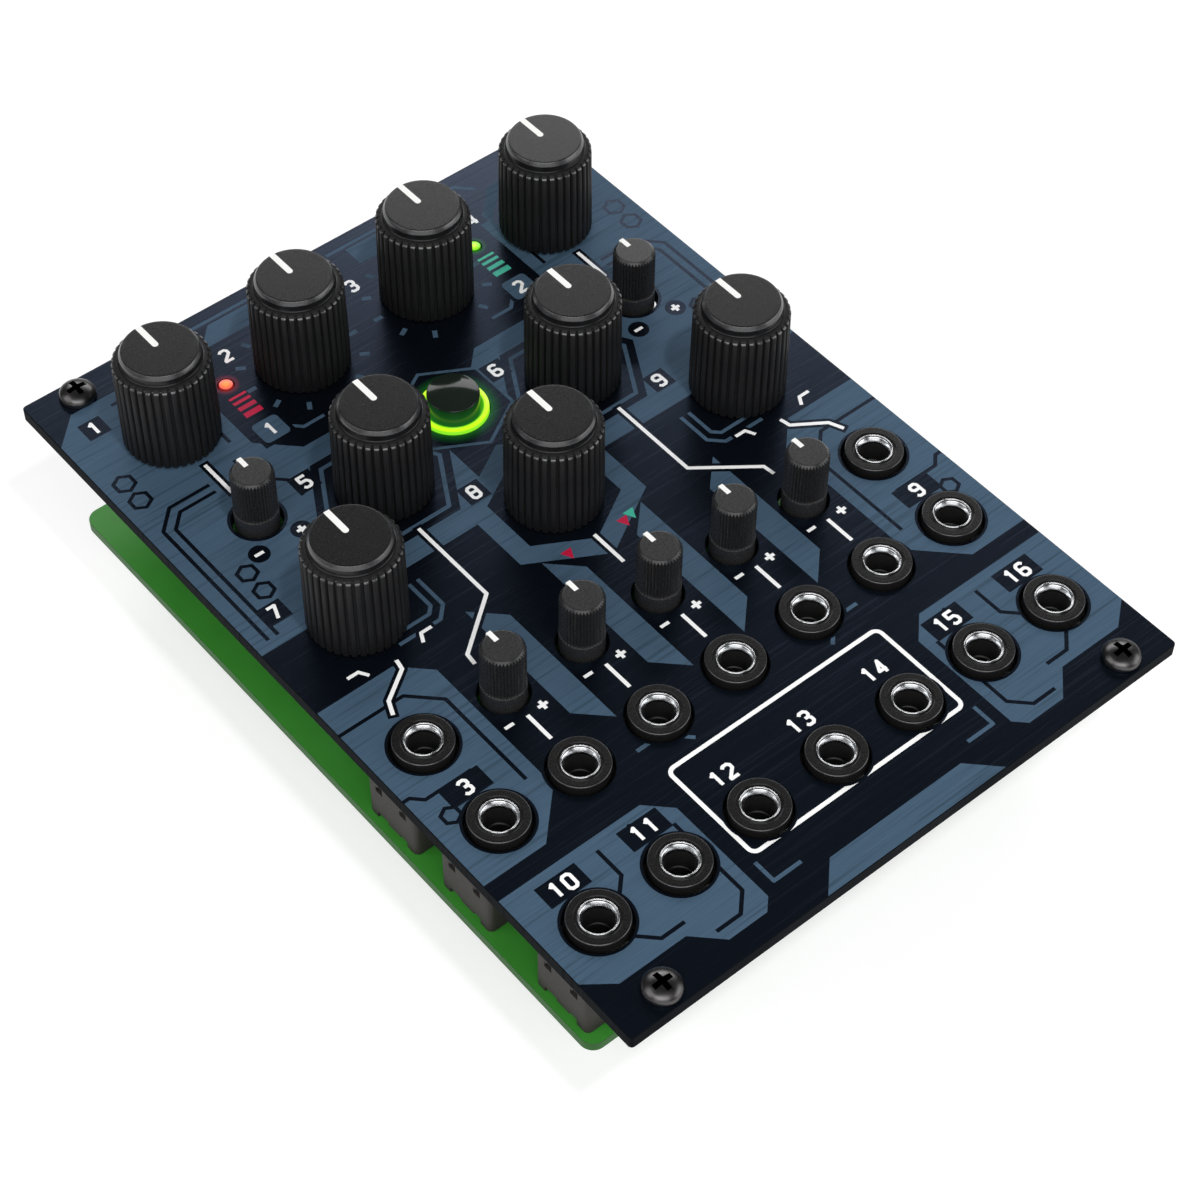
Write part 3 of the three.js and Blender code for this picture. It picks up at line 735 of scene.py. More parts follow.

# Painted halos of the ring's and the lamps' light on the navy round them.
ink(ring_halo_painted_ink, circle(*button_spot, RING_HALO))
ink(red_halo_painted_ink, circle(*red_spot, RED_HALO, 32))
ink(green_halo_painted_ink, circle(*green_spot, GREEN_HALO, 32))
for (x, y), colour, number in ((red_spot, red_ink, 1), (green_spot, teal_ink, 2)):
    ink(colour, *[rectangle(x, y - drop, BAR_LENGTH, thickness) for drop, thickness in BARS])
    badge = rectangle(x, y - BADGE_DROP, BADGE, BADGE)
    ink(navy_ink, inset(badge, -BADGE_EDGE))
    ink(slate_ink, rounded(badge, BADGE_CORNER))
    number_at(number, x, y - BADGE_DROP)

SIGNS = [([(0, -4.7), (0, -9.4)], LINE), ([(-3.5, -4.6), (-2.1, -4.6)], SIGN_LINE),
         ([(1.75, -4.65), (3.25, -4.65)], SIGN_LINE), ([(2.5, -3.9), (2.5, -5.4)], SIGN_LINE)]
LINKS = [
    [(32.4, 39.7), (32.4, 33.4)],
    [(17.2, 12.6), (17.2, -1.8), (25.3, -8.1), (25.5, -9.9)],
    [(32.8, -3.1), (33.1, -4.7), (37.5, -7.7), (38.4, -9.8)],
]
BENDS = [[(39.4, -1.6), (37.7, -1.6), (36.9, -2.9)], [(28.4, -3), (27.7, -1.6), (26, -1.6)]]
marks = [([(0, -2.9), (0, -8.9)], LINE)]
marks += [(shifted(path, *at), width) for at in small_spots[2:] for path, width in SIGNS]
for paths, width in ((LINKS, LINE), (BENDS, SIGN_LINE)):
    marks += [(side(path), width) for path in paths for side in (list, mirrored)]
for path, width in marks:
    ink(navy_ink, *stroke(lengthened(path, MARK_EDGE), width + 2 * MARK_EDGE))
for path, width in marks:
    ink(white_ink, *stroke(path, width))
for colour, x, y in ((red_ink, -4.7, -3.3), (teal_ink, 6.1, -3.1), (red_ink, 4.6, -3.6)):
    ink(colour, shifted([(0, -1.1), (0.88, 0.66), (-0.88, 0.66)], x, y))
frame_outline = rounded(FRAME, FRAME_CORNER)
ink(white_ink, frame_outline)
ink(navy_ink, inset(frame_outline, FRAME_LINE))

for x, y in small_spots[:2]:
    level = y - SIGN_DROP
    for middle in (x - SIGN_SIDE, x + SIGN_SIDE):
        ink(navy_ink, circle(middle, level, SIGN_DISC, 32))
        ink(white_ink, straight((middle - SIGN_ARM, level), (middle + SIGN_ARM, level), SIGN_LINE))
    ink(white_ink, straight((middle, level - SIGN_ARM), (middle, level + SIGN_ARM), SIGN_LINE))
ink(navy_ink, *[circle(x, y, SMALL_RING) for x, y in small_spots])
ink(navy_ink, *[circle(x, y, JACK_RING) for x, y in jack_spots])
for number, (x, y) in enumerate(jack_spots, 1):
    if number in (3, 9) or number > 9:
        ink(navy_ink, rectangle(x, y + PLATE_RISE, *JACK_PLATE))
        number_at(number, x, y + PLATE_RISE)
for number, (x, y) in enumerate(large_spots, 1):
    ink(navy_ink, rectangle(x - KNOB_PLATE_OFF, y + KNOB_PLATE_OFF, KNOB_PLATE, KNOB_PLATE))
    number_at(number, x - KNOB_PLATE_OFF, y + KNOB_PLATE_OFF)
print("inks", len(inks))

# %% [markdown]
# ## The front panel
# All inks and holes are drawn into one flat triangulation of the sheet's face, where each triangle
# knows every outline that it lies in. The topmost ink gives its finish, and triangles in a hole are
# left out. The open borders are broken by a small bevel and carried down to the back, which makes
# the sheet one closed solid with sharp print and true holes.

# %% Front panel
PANEL_CORNER, PANEL_BEVEL, HOLE_BEVEL = 0.6, 0.1, 0.12
HOLES = [(small_spots, 3.45, 64), (jack_spots, 4.4, 64), (large_spots, 3.8, 64),
         ([red_spot, green_spot], 1.12, 32), ([button_spot], 4.95, 64)]
SLOT_WIDTH, SLOT_LENGTH = 3.3, 4.3
MERGE = 1e-5


def slot_outline(x, y):
    reach = (SLOT_LENGTH - SLOT_WIDTH) / 2
    return (arc(x + reach, y, SLOT_WIDTH / 2, -math.pi / 2, math.pi, 12)
            + arc(x - reach, y, SLOT_WIDTH / 2, math.pi / 2, math.pi, 12))


def signed_area(outline):
    pairs = zip(outline, outline[1:] + outline[:1])
    return sum(a[0] * b[1] - b[0] * a[1] for a, b in pairs) / 2


def printed_sheet(outlines, first_hole, finishes):
    flat, rings = [], []
    for outline in outlines:
        path = outline if signed_area(outline) > 0 else outline[::-1]
        rings.append(list(range(len(flat), len(flat) + len(path))))
        flat += [Vector(point) for point in path]
    found, _, triangles, _, _, inside = delaunay_2d_cdt(flat, [], rings, 1, MERGE, True)
    faces, choices = [], []
    for triangle, owners in zip(triangles, inside):
        top = max(owners, default=0)
        if 0 in owners and top < first_hole:
            faces.append(tuple(triangle))
            choices.append(finishes.index(inks[top - 1][0]) if top else 0)

    front = list(faces)
    border = dict.fromkeys(pair for face in faces for pair in zip(face, face[1:] + face[:1]))
    edges = {a: b for a, b in border if (b, a) not in border}
    before = {b: a for a, b in edges.items()}
    points = [(*point, panel_front) for point in found]
    walls = {}
    for here, after in edges.items():
        first = (found[here] - found[before[here]]).normalized()
        second = (found[after] - found[here]).normalized()
        outward = Vector((first.y + second.y, -first.x - second.x))
        x, y = found[here]
        rim = max(abs(x) - half_width, abs(y) - half_height) > -3 * PANEL_BEVEL
        bevel = PANEL_BEVEL if rim else HOLE_BEVEL
        x, y = found[here] + outward * (2 * bevel / outward.length_squared)
        walls[here] = (len(points), len(points) + 1)
        points += [(x, y, panel_front - bevel), (x, y, panel_back)]
    for here, after in edges.items():
        faces.append((here, walls[here][0], walls[after][0], after))
        faces.append((*walls[here], walls[after][1], walls[after][0]))
        choices += [finishes.index(edge_finish)] * 2
    back = {here: pair[1] for here, pair in walls.items()}
    for i, point in enumerate(found):
        if i not in back:
            back[i] = len(points)
            points.append((*point, panel_back))
    faces += [tuple(back[i] for i in reversed(face)) for face in front]
    choices += [0] * len(front)
    used = sorted({i for face in faces for i in face})
    place = {old: new for new, old in enumerate(used)}
    return [points[i] for i in used], [tuple(place[i] for i in face) for face in faces], choices


sheet = rounded(rectangle(0, 0, 2 * half_width, 2 * half_height), PANEL_CORNER)
holes = [circle(*at, radius + HOLE_BEVEL, sides) for places, radius, sides in HOLES for at in places]
holes += [slot_outline(*at) for at in screw_spots]
outlines = [inset(sheet, PANEL_BEVEL)] + [outline for _, outline in inks] + holes
panel_finishes = [navy_ink, slate_ink, white_ink, red_ink, teal_ink, edge_finish, red_halo_painted_ink,
                  green_halo_painted_ink, ring_halo_painted_ink]
panel_shell = printed_sheet(outlines, 1 + len(inks), panel_finishes)
panel_mesh = mesh_of("front_panel_sheet", panel_shell, panel_finishes, crease=30)
put("printed_panel", panel_mesh, stands_for=["front_panel"])
print("panel faces", len(panel_shell[1]))

# %% [markdown]
# ## Large knobs
# The skirt is moulded with 36 flat ribs, whose broken top ends glint below the cap, and the cap has
# a bevel that catches the light. The low part of each rib's broken end, the cap's bevel and the
# face's edge carry a lighter black as a painted highlight, and the skirt is a lighter black than the
# cap as painted light on its upright sides. A lathe alone gives no ribs, so the turned skirt asks a
# small function for its radius. The pointer is a thin raised bar of white paint.

# %% Large knobs
RIBS, RIB_DEPTH = 36, 0.5
RIB_SHAPE = [(-0.5, 0), (-0.36, 0), (-0.33, 0.55), (-0.28, 0.88), (-0.18, 1), (0.18, 1),
             (0.28, 0.88), (0.33, 0.55), (0.36, 0)]
RIB_TURNS = [2 * math.pi * (rib + place) / RIBS for rib in range(RIBS) for place, _ in RIB_SHAPE]
SKIRT_FOOT, SKIRT_TOP = 0.4, 14.8
FOOT_RADIUS, TOP_RADIUS = 6.75, 6.58
CAP_RADIUS, FACE_RADIUS = 5.46, 5.1
CAP_SHOULDER, KNOB_HEIGHT = 15.85, 16.4
BORE_RADIUS, BORE_TOP = 5.6, 7.0
SHAFT_RADIUS, SHAFT_LOW = 3.0, -3.0
POINTER_WIDTH, POINTER_START, PRINT_PROUD = 0.88, 1.0, 0.03
knob_finishes = [knob_abs, stamped_steel, pad_print, highlight_painted_abs, skirt_abs_painted_light]
CAP, STEEL, PAINT, GLINT, SKIRT = range(len(knob_finishes))


def rib_radius(column, radius, height):
    """The skirt's radius at a column: its core and a flat rib whose ends are broken."""
    rise = height - panel_front
    if radius <= TOP_RADIUS - RIB_DEPTH - 0.02 or rise > SKIRT_TOP + 0.01:
        return radius
    share = RIB_SHAPE[column % len(RIB_SHAPE)][1]
    room = min(SKIRT_TOP - rise, RIB_DEPTH * 0.6 + rise - SKIRT_FOOT)
    return radius + max(0, min(RIB_DEPTH * share, room))


def core(rise):
    """A point on the skirt between its ribs."""
    return FOOT_RADIUS - RIB_DEPTH + (TOP_RADIUS - FOOT_RADIUS) * rise / SKIRT_TOP, rise


def large_knob():
    shoulder, face = panel_front + CAP_SHOULDER, panel_front + KNOB_HEIGHT
    profile = band(STEEL, SHAFT_LOW, (0, 0), (SHAFT_RADIUS - 0.3, 0), (SHAFT_RADIUS, 0.3))
    profile += band(SKIRT, panel_front, (SHAFT_RADIUS, BORE_TOP), (BORE_RADIUS, BORE_TOP),
                    (BORE_RADIUS, 0.6), (BORE_RADIUS + 0.15, SKIRT_FOOT), core(SKIRT_FOOT),
                    core(SKIRT_FOOT + 0.15), core(5), core(10))
    for step in range(6):
        end = core(SKIRT_TOP - RIB_DEPTH * (1 - step / 5))
        # The lowest steps of each rib's broken end take the painted highlight.
        profile += band(GLINT if step < 2 else SKIRT, panel_front, end)
    profile += band(CAP, panel_front + SKIRT_TOP, (5.72, 0.02), (5.62, 0.04), (5.53, 0.12),
                    (5.49, 0.16), (CAP_RADIUS, 0.24))
    profile += band(CAP, shoulder, (CAP_RADIUS, -0.1))
    # The cap's bevel and the face's edge take the painted highlight.
    profile += band(GLINT, shoulder, (CAP_RADIUS - 0.01, -0.04), (CAP_RADIUS - 0.035, 0.03))
    profile += band(GLINT, face, (FACE_RADIUS + 0.05, -0.08))
    profile += band(CAP, face, (FACE_RADIUS + 0.01, -0.03), (FACE_RADIUS - 0.04, -0.005),
                    (FACE_RADIUS - 0.1, 0), (FACE_RADIUS - 0.3, 0), (0, 0))
    body = turned(profile, len(RIB_TURNS), rib_radius, RIB_TURNS)
    half, tip = POINTER_WIDTH / 2, FACE_RADIUS - 0.04
    line = [(half, POINTER_START), (half, tip), (-half, tip)]
    line += arc(0, POINTER_START, half, math.pi, math.pi, 10)[:-1]
    pointer = stacked([(line, face - PRINT_PROUD), (line, face + PRINT_PROUD)], PAINT)
    return joined([body, pointer])


knob_mesh = mesh_of("large_knob", large_knob(), knob_finishes, crease=50)
for number, at in enumerate(large_spots, 1):
    node = f"large_knob_{number}"
    put(f"ribbed_knob_{number}", knob_mesh, at, node, [node])
print("large knobs", len(large_spots), "with", len(knob_mesh.polygons), "faces each")

# %% [markdown]
# ## Small knobs
# These are grips of soft-touch plastic pressed on thin shafts: a smooth collar, then 40 fine teeth.
# The chamfer at the top cuts each tooth to a small triangle that catches the light. The radius is
# therefore the smaller of the tooth and the chamfer, sampled closely at the top.

# %% Small knobs
TEETH, COLUMNS_PER_TOOTH = 40, 8
TOOTH_PEAK, TOOTH_VALLEY = 2.97, 2.68
COLLAR_RADIUS, COLLAR_TOP = 3.05, 2.2
GRIP_HEIGHT, GRIP_CHAMFER, GRIP_FACE, GRIP_REACH = 9.25, 0.45, 2.52, 3.4
STEM_RADIUS, STEM_LOW = 1.5, -9.0
TICK_WIDTH, TICK_START = 0.7, 1.1


def tooth_radius(column, radius, height):
    if radius < GRIP_FACE or height < panel_front + COLLAR_TOP + 0.1:
        return radius
    share = abs(column % COLUMNS_PER_TOOTH / COLUMNS_PER_TOOTH - 0.5) * 2
    tooth = TOOTH_VALLEY + (TOOTH_PEAK - TOOTH_VALLEY) * (1 - share)
    below = panel_front + GRIP_HEIGHT - height
    chamfer = GRIP_FACE + below * (TOOTH_PEAK - GRIP_FACE) / GRIP_CHAMFER
    return min(tooth, chamfer, radius)


def small_knob():
    top = panel_front + GRIP_HEIGHT
    profile = band(1, STEM_LOW, (0, 0), (STEM_RADIUS, 0))
    profile += band(0, panel_front - GRIP_REACH, (STEM_RADIUS, 0), (COLLAR_RADIUS - 0.1, 0),
                    (COLLAR_RADIUS, 0.1))
    profile += band(0, panel_front + COLLAR_TOP, (COLLAR_RADIUS, -0.06), (COLLAR_RADIUS - 0.04, 0),
                    (TOOTH_PEAK, 0.1), (TOOTH_PEAK, 0.3))
    profile += band(0, top, *[(TOOTH_PEAK, GRIP_CHAMFER * (step / 10 - 1)) for step in range(11)])
    profile += band(0, top + 0.01, (GRIP_FACE - 0.05, 0), (GRIP_FACE - 0.2, 0), (0, 0))
    body = turned(profile, TEETH * COLUMNS_PER_TOOTH, tooth_radius)
    line = straight((0, TICK_START), (0, TOOTH_PEAK - 0.08), TICK_WIDTH)
    return joined([body, stacked([(line, top - GRIP_CHAMFER), (line, top + PRINT_PROUD)], 2)])


grip_mesh = mesh_of("small_knob", small_knob(), [soft_touch, stamped_steel, pad_print], crease=18)
for number, at in enumerate(small_spots, 1):
    node = f"small_knob_{number}"
    put(f"grip_knob_{number}", grip_mesh, at, node, [node])
print("small knobs", len(small_spots))

# %% [markdown]
# ## Jacks
# A jack is a moulded housing on three feet with two clip windows on each side, a round boss that
# stands in the panel, and a chromed sleeve with a flared mouth. The housing is an extruded outline
# from which arches and windows are cut by a boolean. The boss and the sleeve are turned.

# %% Jack housing
HOUSING_WIDTH, HOUSING_CORNER, HOUSING_TOP = 9.7, 0.8, -0.3
FOOT_RISE, MIDDLE_RISE = 1.2, 0.75
WINDOW, WINDOW_LOW, WINDOW_HIGH, WINDOW_DEPTH = 1.35, -8.0, -6.6, 0.8
BOSS_RADIUS, BOSS_RISE, BOSS_EDGE = 4.0, 1.05, 0.17


def across(outline, low, high):
    """A bar along X from an outline of (y, height)."""
    points, faces, choices = stacked([(outline, low), (outline, high)])
    return [(x, y, z) for y, z, x in points], faces, choices


def carved(name, body, cutters, finishes, crease=40):
    """The body with all cutters taken away one after another, as a mesh."""
    holders = [show(name, mesh_of(name, shell, finishes)) for shell in [body] + cutters]
    for cutter in holders[1:]:
        cut = holders[0].modifiers.new("cut", "BOOLEAN")
        cut.operation = "DIFFERENCE"
        cut.solver = "EXACT"
        cut.object = cutter
    view = bpy.context.evaluated_depsgraph_get()
    made = bpy.data.meshes.new_from_object(holders[0].evaluated_get(view))
    made.name = name
    made.shade_smooth()
    made.set_sharp_from_angle(angle=math.radians(crease))
    for holder in holders:
        bpy.data.objects.remove(holder)
    return made


def jack_housing():
    half = HOUSING_WIDTH / 2
    plan = rounded(box_outline((-half, -HOUSING_FRONT), (half, HOUSING_BACK)), HOUSING_CORNER, 5)
    body = bevelled(plan, board_front, HOUSING_TOP, 0.12)
    low, middle, high = board_front - 1, board_front + MIDDLE_RISE, board_front + FOOT_RISE
    arches = [(-1.95, low), (4.15, low), (4.15, high), (1.9, high), (1.9, middle), (-0.6, middle),
              (-0.6, high), (-1.95, high)]
    cutters = [across(arches, -half - 1, half + 1)]
    for y in (-1.35, 3.55):
        a, b, step = y - WINDOW / 2, y + WINDOW / 2, WINDOW_LOW + 1
        window = [(a, WINDOW_LOW), (b, WINDOW_LOW), (b, step), (y + 0.2, step),
                  (y + 0.2, WINDOW_HIGH), (a, WINDOW_HIGH)]
        cutters.append(across(window, -half - 1, WINDOW_DEPTH - half))
        cutters.append(across(window, half - WINDOW_DEPTH, half + 1))
    bore = BOSS_RADIUS - 0.6
    cutters.append(turned(band(0, 0, (0, -9.95), (bore, -9.95), (bore, 1), (0, 1)), 32))
    return carved("jack_housing", body, cutters, [housing_nylon])


housing_mesh = jack_housing()
print("housing faces", len(housing_mesh.polygons))

# %% Jack sockets
SLEEVE_RADIUS, SLEEVE_BORE, FLARE_DEPTH, LIP = 2.58, 1.95, 0.75, 0.115
SOCKET_LOW, SOCKET_DEPTH = -9.0, 11.4
CONTACT_DEPTH, CONTACT_RADIUS = 4.2, 1.8
socket_finishes = [chrome, jack_nylon, pot_resin, highlight_painted_abs]
CHROME, NYLON, RESIN, EDGE = range(len(socket_finishes))


def jack_socket():
    """Boss in plastic, sleeve in chrome, and the dark bore below."""
    top, foot = panel_front + BOSS_RISE, HOUSING_TOP - 0.2
    tube, wall = SLEEVE_BORE + 0.5, BOSS_RADIUS - 0.55
    profile = band(NYLON, top, (0, -SOCKET_DEPTH), (tube, -SOCKET_DEPTH))
    profile += band(NYLON, 0, (tube, SOCKET_LOW), (wall, SOCKET_LOW), (wall, foot), (BOSS_RADIUS, foot))
    rim = arc(BOSS_RADIUS - BOSS_EDGE, -BOSS_EDGE, BOSS_EDGE, 0, math.pi / 2, 5)
    # The middle of the rim's rounding takes the painted highlight, a lighter black.
    for step, point in enumerate(rim):
        profile += band(EDGE if 0 < step < 4 else NYLON, top, point)
    profile += band(NYLON, top, (BOSS_RADIUS - 0.3, 0), (3.02, 0), (2.97, -0.05), (2.86, -0.09),
                    (2.82, -0.22), (SLEEVE_RADIUS + 0.04, -0.24))
    mouth = SLEEVE_RADIUS - 2 * LIP - 0.07
    profile += band(CHROME, top, (SLEEVE_RADIUS + 0.02, -0.24),
                    *arc(SLEEVE_RADIUS - LIP, -0.02, LIP, 0, math.pi, 8), (mouth + 0.05, -0.14))
    for step in range(9):
        flare = SLEEVE_BORE + (mouth - SLEEVE_BORE) * (1 - step / 8) ** 1.2
        profile += band(CHROME, top - 0.16, (flare, (0.14 - FLARE_DEPTH) * step / 8))
    profile += band(RESIN, top, (SLEEVE_BORE, -FLARE_DEPTH - 0.3))
    profile += band(NYLON, top, (SLEEVE_BORE, -CONTACT_DEPTH))
    profile += band(RESIN, top, (CONTACT_RADIUS, -CONTACT_DEPTH - 0.12), (CONTACT_RADIUS, -10.9),
                    (0, -11))
    return turned(profile, 64)


socket_mesh = mesh_of("jack_socket", jack_socket(), socket_finishes, crease=45)
for number, at in enumerate(jack_spots, 1):
    put(f"jack_socket_{number}", socket_mesh, at, MODULE, [f"jack_{number}"])
    put(f"jack_housing_{number}", housing_mesh, at)
print("jacks", len(jack_spots))

# %% [markdown]
# ## Push button and its ring
# The cap is a shallow dome of polished black acrylic with a tight edge, so it mirrors the lamps as
# broad bands. It slides in a lit ring, which stands half a millimetre proud of the panel.

# %% Push button
BUTTON_RADIUS, CAP_RIM, CAP_DOME, CAP_EDGE = 3.65, 3.1, 0.45, 0.13
RING_RADIUS, RING_RISE, RING_INNER = 4.9, 0.5, 3.95
FLANGE_RADIUS, RING_BORE, RING_STEP = 5.7, 4.75, -7.4


def push_button():
    rim = panel_front + CAP_RIM
    profile = band(0, 0, (0, -10.9), (1.3, -10.9), (1.5, -10.7), (1.5, -6), (3.5, -6))
    profile += band(1, 0, (BUTTON_RADIUS, -5.85))
    dome = BUTTON_RADIUS - CAP_EDGE
    # One step of the cap's rounded edge takes the painted highlight.
    for step, point in enumerate(arc(dome, -CAP_EDGE, CAP_EDGE, 0, math.pi / 2, 6)):
        profile += band(2 if step == 2 else 0, rim, point)
    curve = (dome ** 2 + CAP_DOME ** 2) / (2 * CAP_DOME)
    for step in range(1, 13):
        reach = dome * (1 - step / 12)
        profile += band(0, rim + CAP_DOME, (reach, math.sqrt(curve ** 2 - reach ** 2) - curve))
    return turned(profile, 96)


def light_ring():
    profile = band(0, 0, (RING_BORE, board_front), (FLANGE_RADIUS, board_front),
                   (FLANGE_RADIUS, HOUSING_TOP), (RING_RADIUS, HOUSING_TOP))
    profile += band(0, panel_front + RING_RISE, (RING_RADIUS, -0.2), (RING_RADIUS - 0.06, -0.06),
                    (RING_RADIUS - 0.2, 0), (4.28, 0), (4.22, -0.06), (4.16, 0),
                    (RING_INNER + 0.06, 0), (RING_INNER, -0.06))
    profile += band(0, 0, (RING_INNER, RING_STEP), (RING_BORE, RING_STEP), (RING_BORE, board_front))
    return turned(profile, 96)


button_finishes = [painted_green_gloss_acrylic, painted_glow_acrylic, highlight_painted_abs]
button_mesh = mesh_of("push_button_cap", push_button(), button_finishes, crease=30)
put("black_button_cap", button_mesh, button_spot, "push_button", ["push_button"])
ring_mesh = mesh_of("button_ring", light_ring(), [ring_acrylic], crease=40)
put("lit_button_ring", ring_mesh, button_spot, MODULE, ["button_light_ring"])
print("button ring", RING_RADIUS * 2, "mm across")

# %% [markdown]
# ## Lamps
# Each lamp is a small moulded lens with a nearly flat domed end and two wire legs down to the board.
# The lens is turned, and the legs are bars.

# %% Lamps
LENS_RADIUS, LENS_RISE, LENS_LOW, LENS_DOME = 1.04, 0.2, -4.0, 0.15
LEG, LEG_SPACING = 0.5, 1.2


def lamp():
    top = panel_front + LENS_RISE
    profile = band(0, LENS_LOW, (0, 0), (LENS_RADIUS, 0))
    for step in range(8):
        turn = math.pi / 2 * step / 8
        reach = LENS_RADIUS * (0.75 * math.cos(turn) + 0.25 * math.cos(turn) ** 0.5)
        profile += band(0, top, (reach, LENS_DOME * (math.sin(turn) - 1)))
    profile += band(0, top, (0, 0))
    legs = [bevelled(rectangle(x, 0, LEG, LEG), board_front, LENS_LOW + 0.3, 0.06, 1)
            for x in (-LEG_SPACING / 2, LEG_SPACING / 2)]
    return joined([turned(profile, 48)] + legs)


for node, at, finish, slot in (("led_red", red_spot, red_lens, "red_lens"),
                               ("led_green", green_spot, green_lens, "green_lens")):
    lamp_mesh = mesh_of(f"{node}_lamp", lamp(), [finish, stamped_steel])
    put(f"{node}_lens", lamp_mesh, at, MODULE, [node])
print("lamp lenses", 2 * LENS_RADIUS, "mm across")

# %% [markdown]
# ## Rack screws
# M3 pan heads in black nickel. The dome is turned, a cross is cut into it with a boolean and its
# faces are painted near-black as shade, and the thread is a real helix: a turned rod whose radius
# follows height and angle with a pitch of 0.5 mm.

# %% Rack screws
HEAD_RADIUS, HEAD_RISE, HEAD_RIM = 2.6, 1.8, 0.45
THREAD_OUTER, THREAD_CORE, THREAD_PITCH = 1.45, 1.2, 0.5
SCREW_LOW, SCREW_SIDES = -2.0, 48
CROSS_LENGTH, CROSS_WIDTH, CROSS_DEPTH = 2.8, 0.76, 1.25


def thread_radius(column, radius, height):
    if height > panel_front - 0.1 or height < SCREW_LOW + 0.3:
        return radius
    phase = (height / THREAD_PITCH - column / SCREW_SIDES) % 1
    return THREAD_CORE + (THREAD_OUTER - THREAD_CORE) * min(1, 1.3 * (1 - abs(2 * phase - 1)))


def cross(scale):
    """The outline of the driver's cross."""
    a, b = CROSS_WIDTH / 2 * scale, CROSS_LENGTH / 2 * scale
    return [(a, a), (a, b), (-a, b), (-a, a), (-b, a), (-b, -a), (-a, -a), (-a, -b),
            (a, -b), (a, -a), (b, -a), (b, a)]


def rack_screw():
    top = panel_front + HEAD_RISE
    rise = HEAD_RISE - HEAD_RIM
    profile = band(0, SCREW_LOW, (0, 0), (THREAD_CORE - 0.2, 0))
    steps = int((panel_front - 0.1 - SCREW_LOW - 0.2) / 0.1)
    profile += band(0, SCREW_LOW + 0.2, *[(THREAD_CORE, step * 0.1) for step in range(steps + 1)])
    profile += band(0, panel_front, (THREAD_OUTER, -0.05), (THREAD_OUTER, 0.02),
                    (HEAD_RADIUS - 0.1, 0.02), (HEAD_RADIUS, 0.12))
    turns = [math.pi / 2 * step / 12 for step in range(12)]
    profile += band(0, top, *[(HEAD_RADIUS * math.cos(a), rise * (math.sin(a) - 1)) for a in turns])
    body = turned(profile + band(0, top, (0, 0)), SCREW_SIDES, thread_radius)
    # The cross's faces take finish 1, the painted shade.
    recess = stacked([(cross(0.85), top - CROSS_DEPTH), (cross(1.03), top + 0.2)], 1)
    return carved("pan_head_screw", body, [recess], [black_nickel, recess_painted_shade], crease=35)


screw_mesh = rack_screw()
for number, at in enumerate(screw_spots, 1):
    put(f"pan_head_screw_{number}", screw_mesh, at, MODULE, [f"rack_screw_{number}"])
print("screws", len(screw_spots), "with", len(screw_mesh.polygons), "faces each")

# %% [markdown]
# ## Circuit board
# The board's corners are routed round and its edge is duller than the mask. On its back lie the
# solder joints of every part that stands on the front. A joint is a small cone of solder that wets
# a clipped leg, so its profile is a curve that flattens towards the board.

# %% Circuit board
BOARD_CORNER, BOARD_BEVEL = 2.0, 0.05
board_plan = rounded(box_outline(board_low, board_high), BOARD_CORNER, 12)
board_shell = bevelled(board_plan, board_back, board_front, BOARD_BEVEL, 1, 0)
board_mesh = mesh_of("circuit_board_sheet", board_shell, [mask_green, mask_edge], crease=30)
put("green_board", board_mesh, stands_for=["circuit_board"])


def solder_joint():
    profile = band(0, 0, (0, -1.35), (0.28, -1.3), (0.33, -1.05))
    profile += band(0, -1, *[(0.34 + 0.56 * (step / 6) ** 2.2, step / 6) for step in range(1, 7)])
    return turned(profile + band(0, 0, (0, 0.02)), 14)


LEGS = [
    (large_spots, [(-2.5, -4.7), (0, -4.7), (2.5, -4.7), (-4.6, 0), (4.6, 0)]),
    (small_spots, [(-2.5, -3.6), (0, -3.6), (2.5, -3.6), (-2.5, 3.6), (2.5, 3.6)]),
    (jack_spots, [(0, -2.9), (-3.2, 4.4), (3.2, 4.4)]),
    ([red_spot, green_spot], [(-LEG_SPACING / 2, 0), (LEG_SPACING / 2, 0)]),
    ([button_spot], [(-2.25, -2.25), (-2.25, 2.25), (2.25, -2.25), (2.25, 2.25)]),
]
joint_spots = [point for places, legs in LEGS for at in places for point in shifted(legs, *at)]
joints_shell = joined([moved(solder_joint(), x, y, board_back) for x, y in joint_spots])
put("solder_joints", mesh_of("solder_joints", joints_shell, [solder], crease=60))
print("solder joints", len(joint_spots))

# %% [markdown]
# ## Surface parts
# Between the joints lie chips and small resistors and capacitors. A chip is a moulded body on
# gull-wing leads 1.27 mm apart, and a small part is a ceramic block with tinned ends. Both are set
# out on grids, and a place is left free where a joint, the header or a chip is too near.

# %% Surface parts
CHIP_PITCH, CHIP_WIDTH, CHIP_HEIGHT, CHIP_ROW = 1.27, 3.9, 1.5, 7
CHIP_LENGTH = CHIP_ROW * CHIP_PITCH
LEAD_WIDTH, LEAD_REACH, LEAD_HEIGHT = 0.42, 1.05, 0.25
PART_LENGTH, PART_WIDTH, PART_HEIGHT, PART_END = 1.6, 0.8, 0.5, 0.3
CHIP_ROWS, CHIP_STEP, PART_ROWS, PART_STEP = 8.5, 2, 2.1, 3.1
taken = [(x - 1, y - 1, x + 1, y + 1) for x, y in joint_spots]
taken.append((header_low.x - 1, header_low.y - 1, header_high.x + 1, header_high.y + 1))


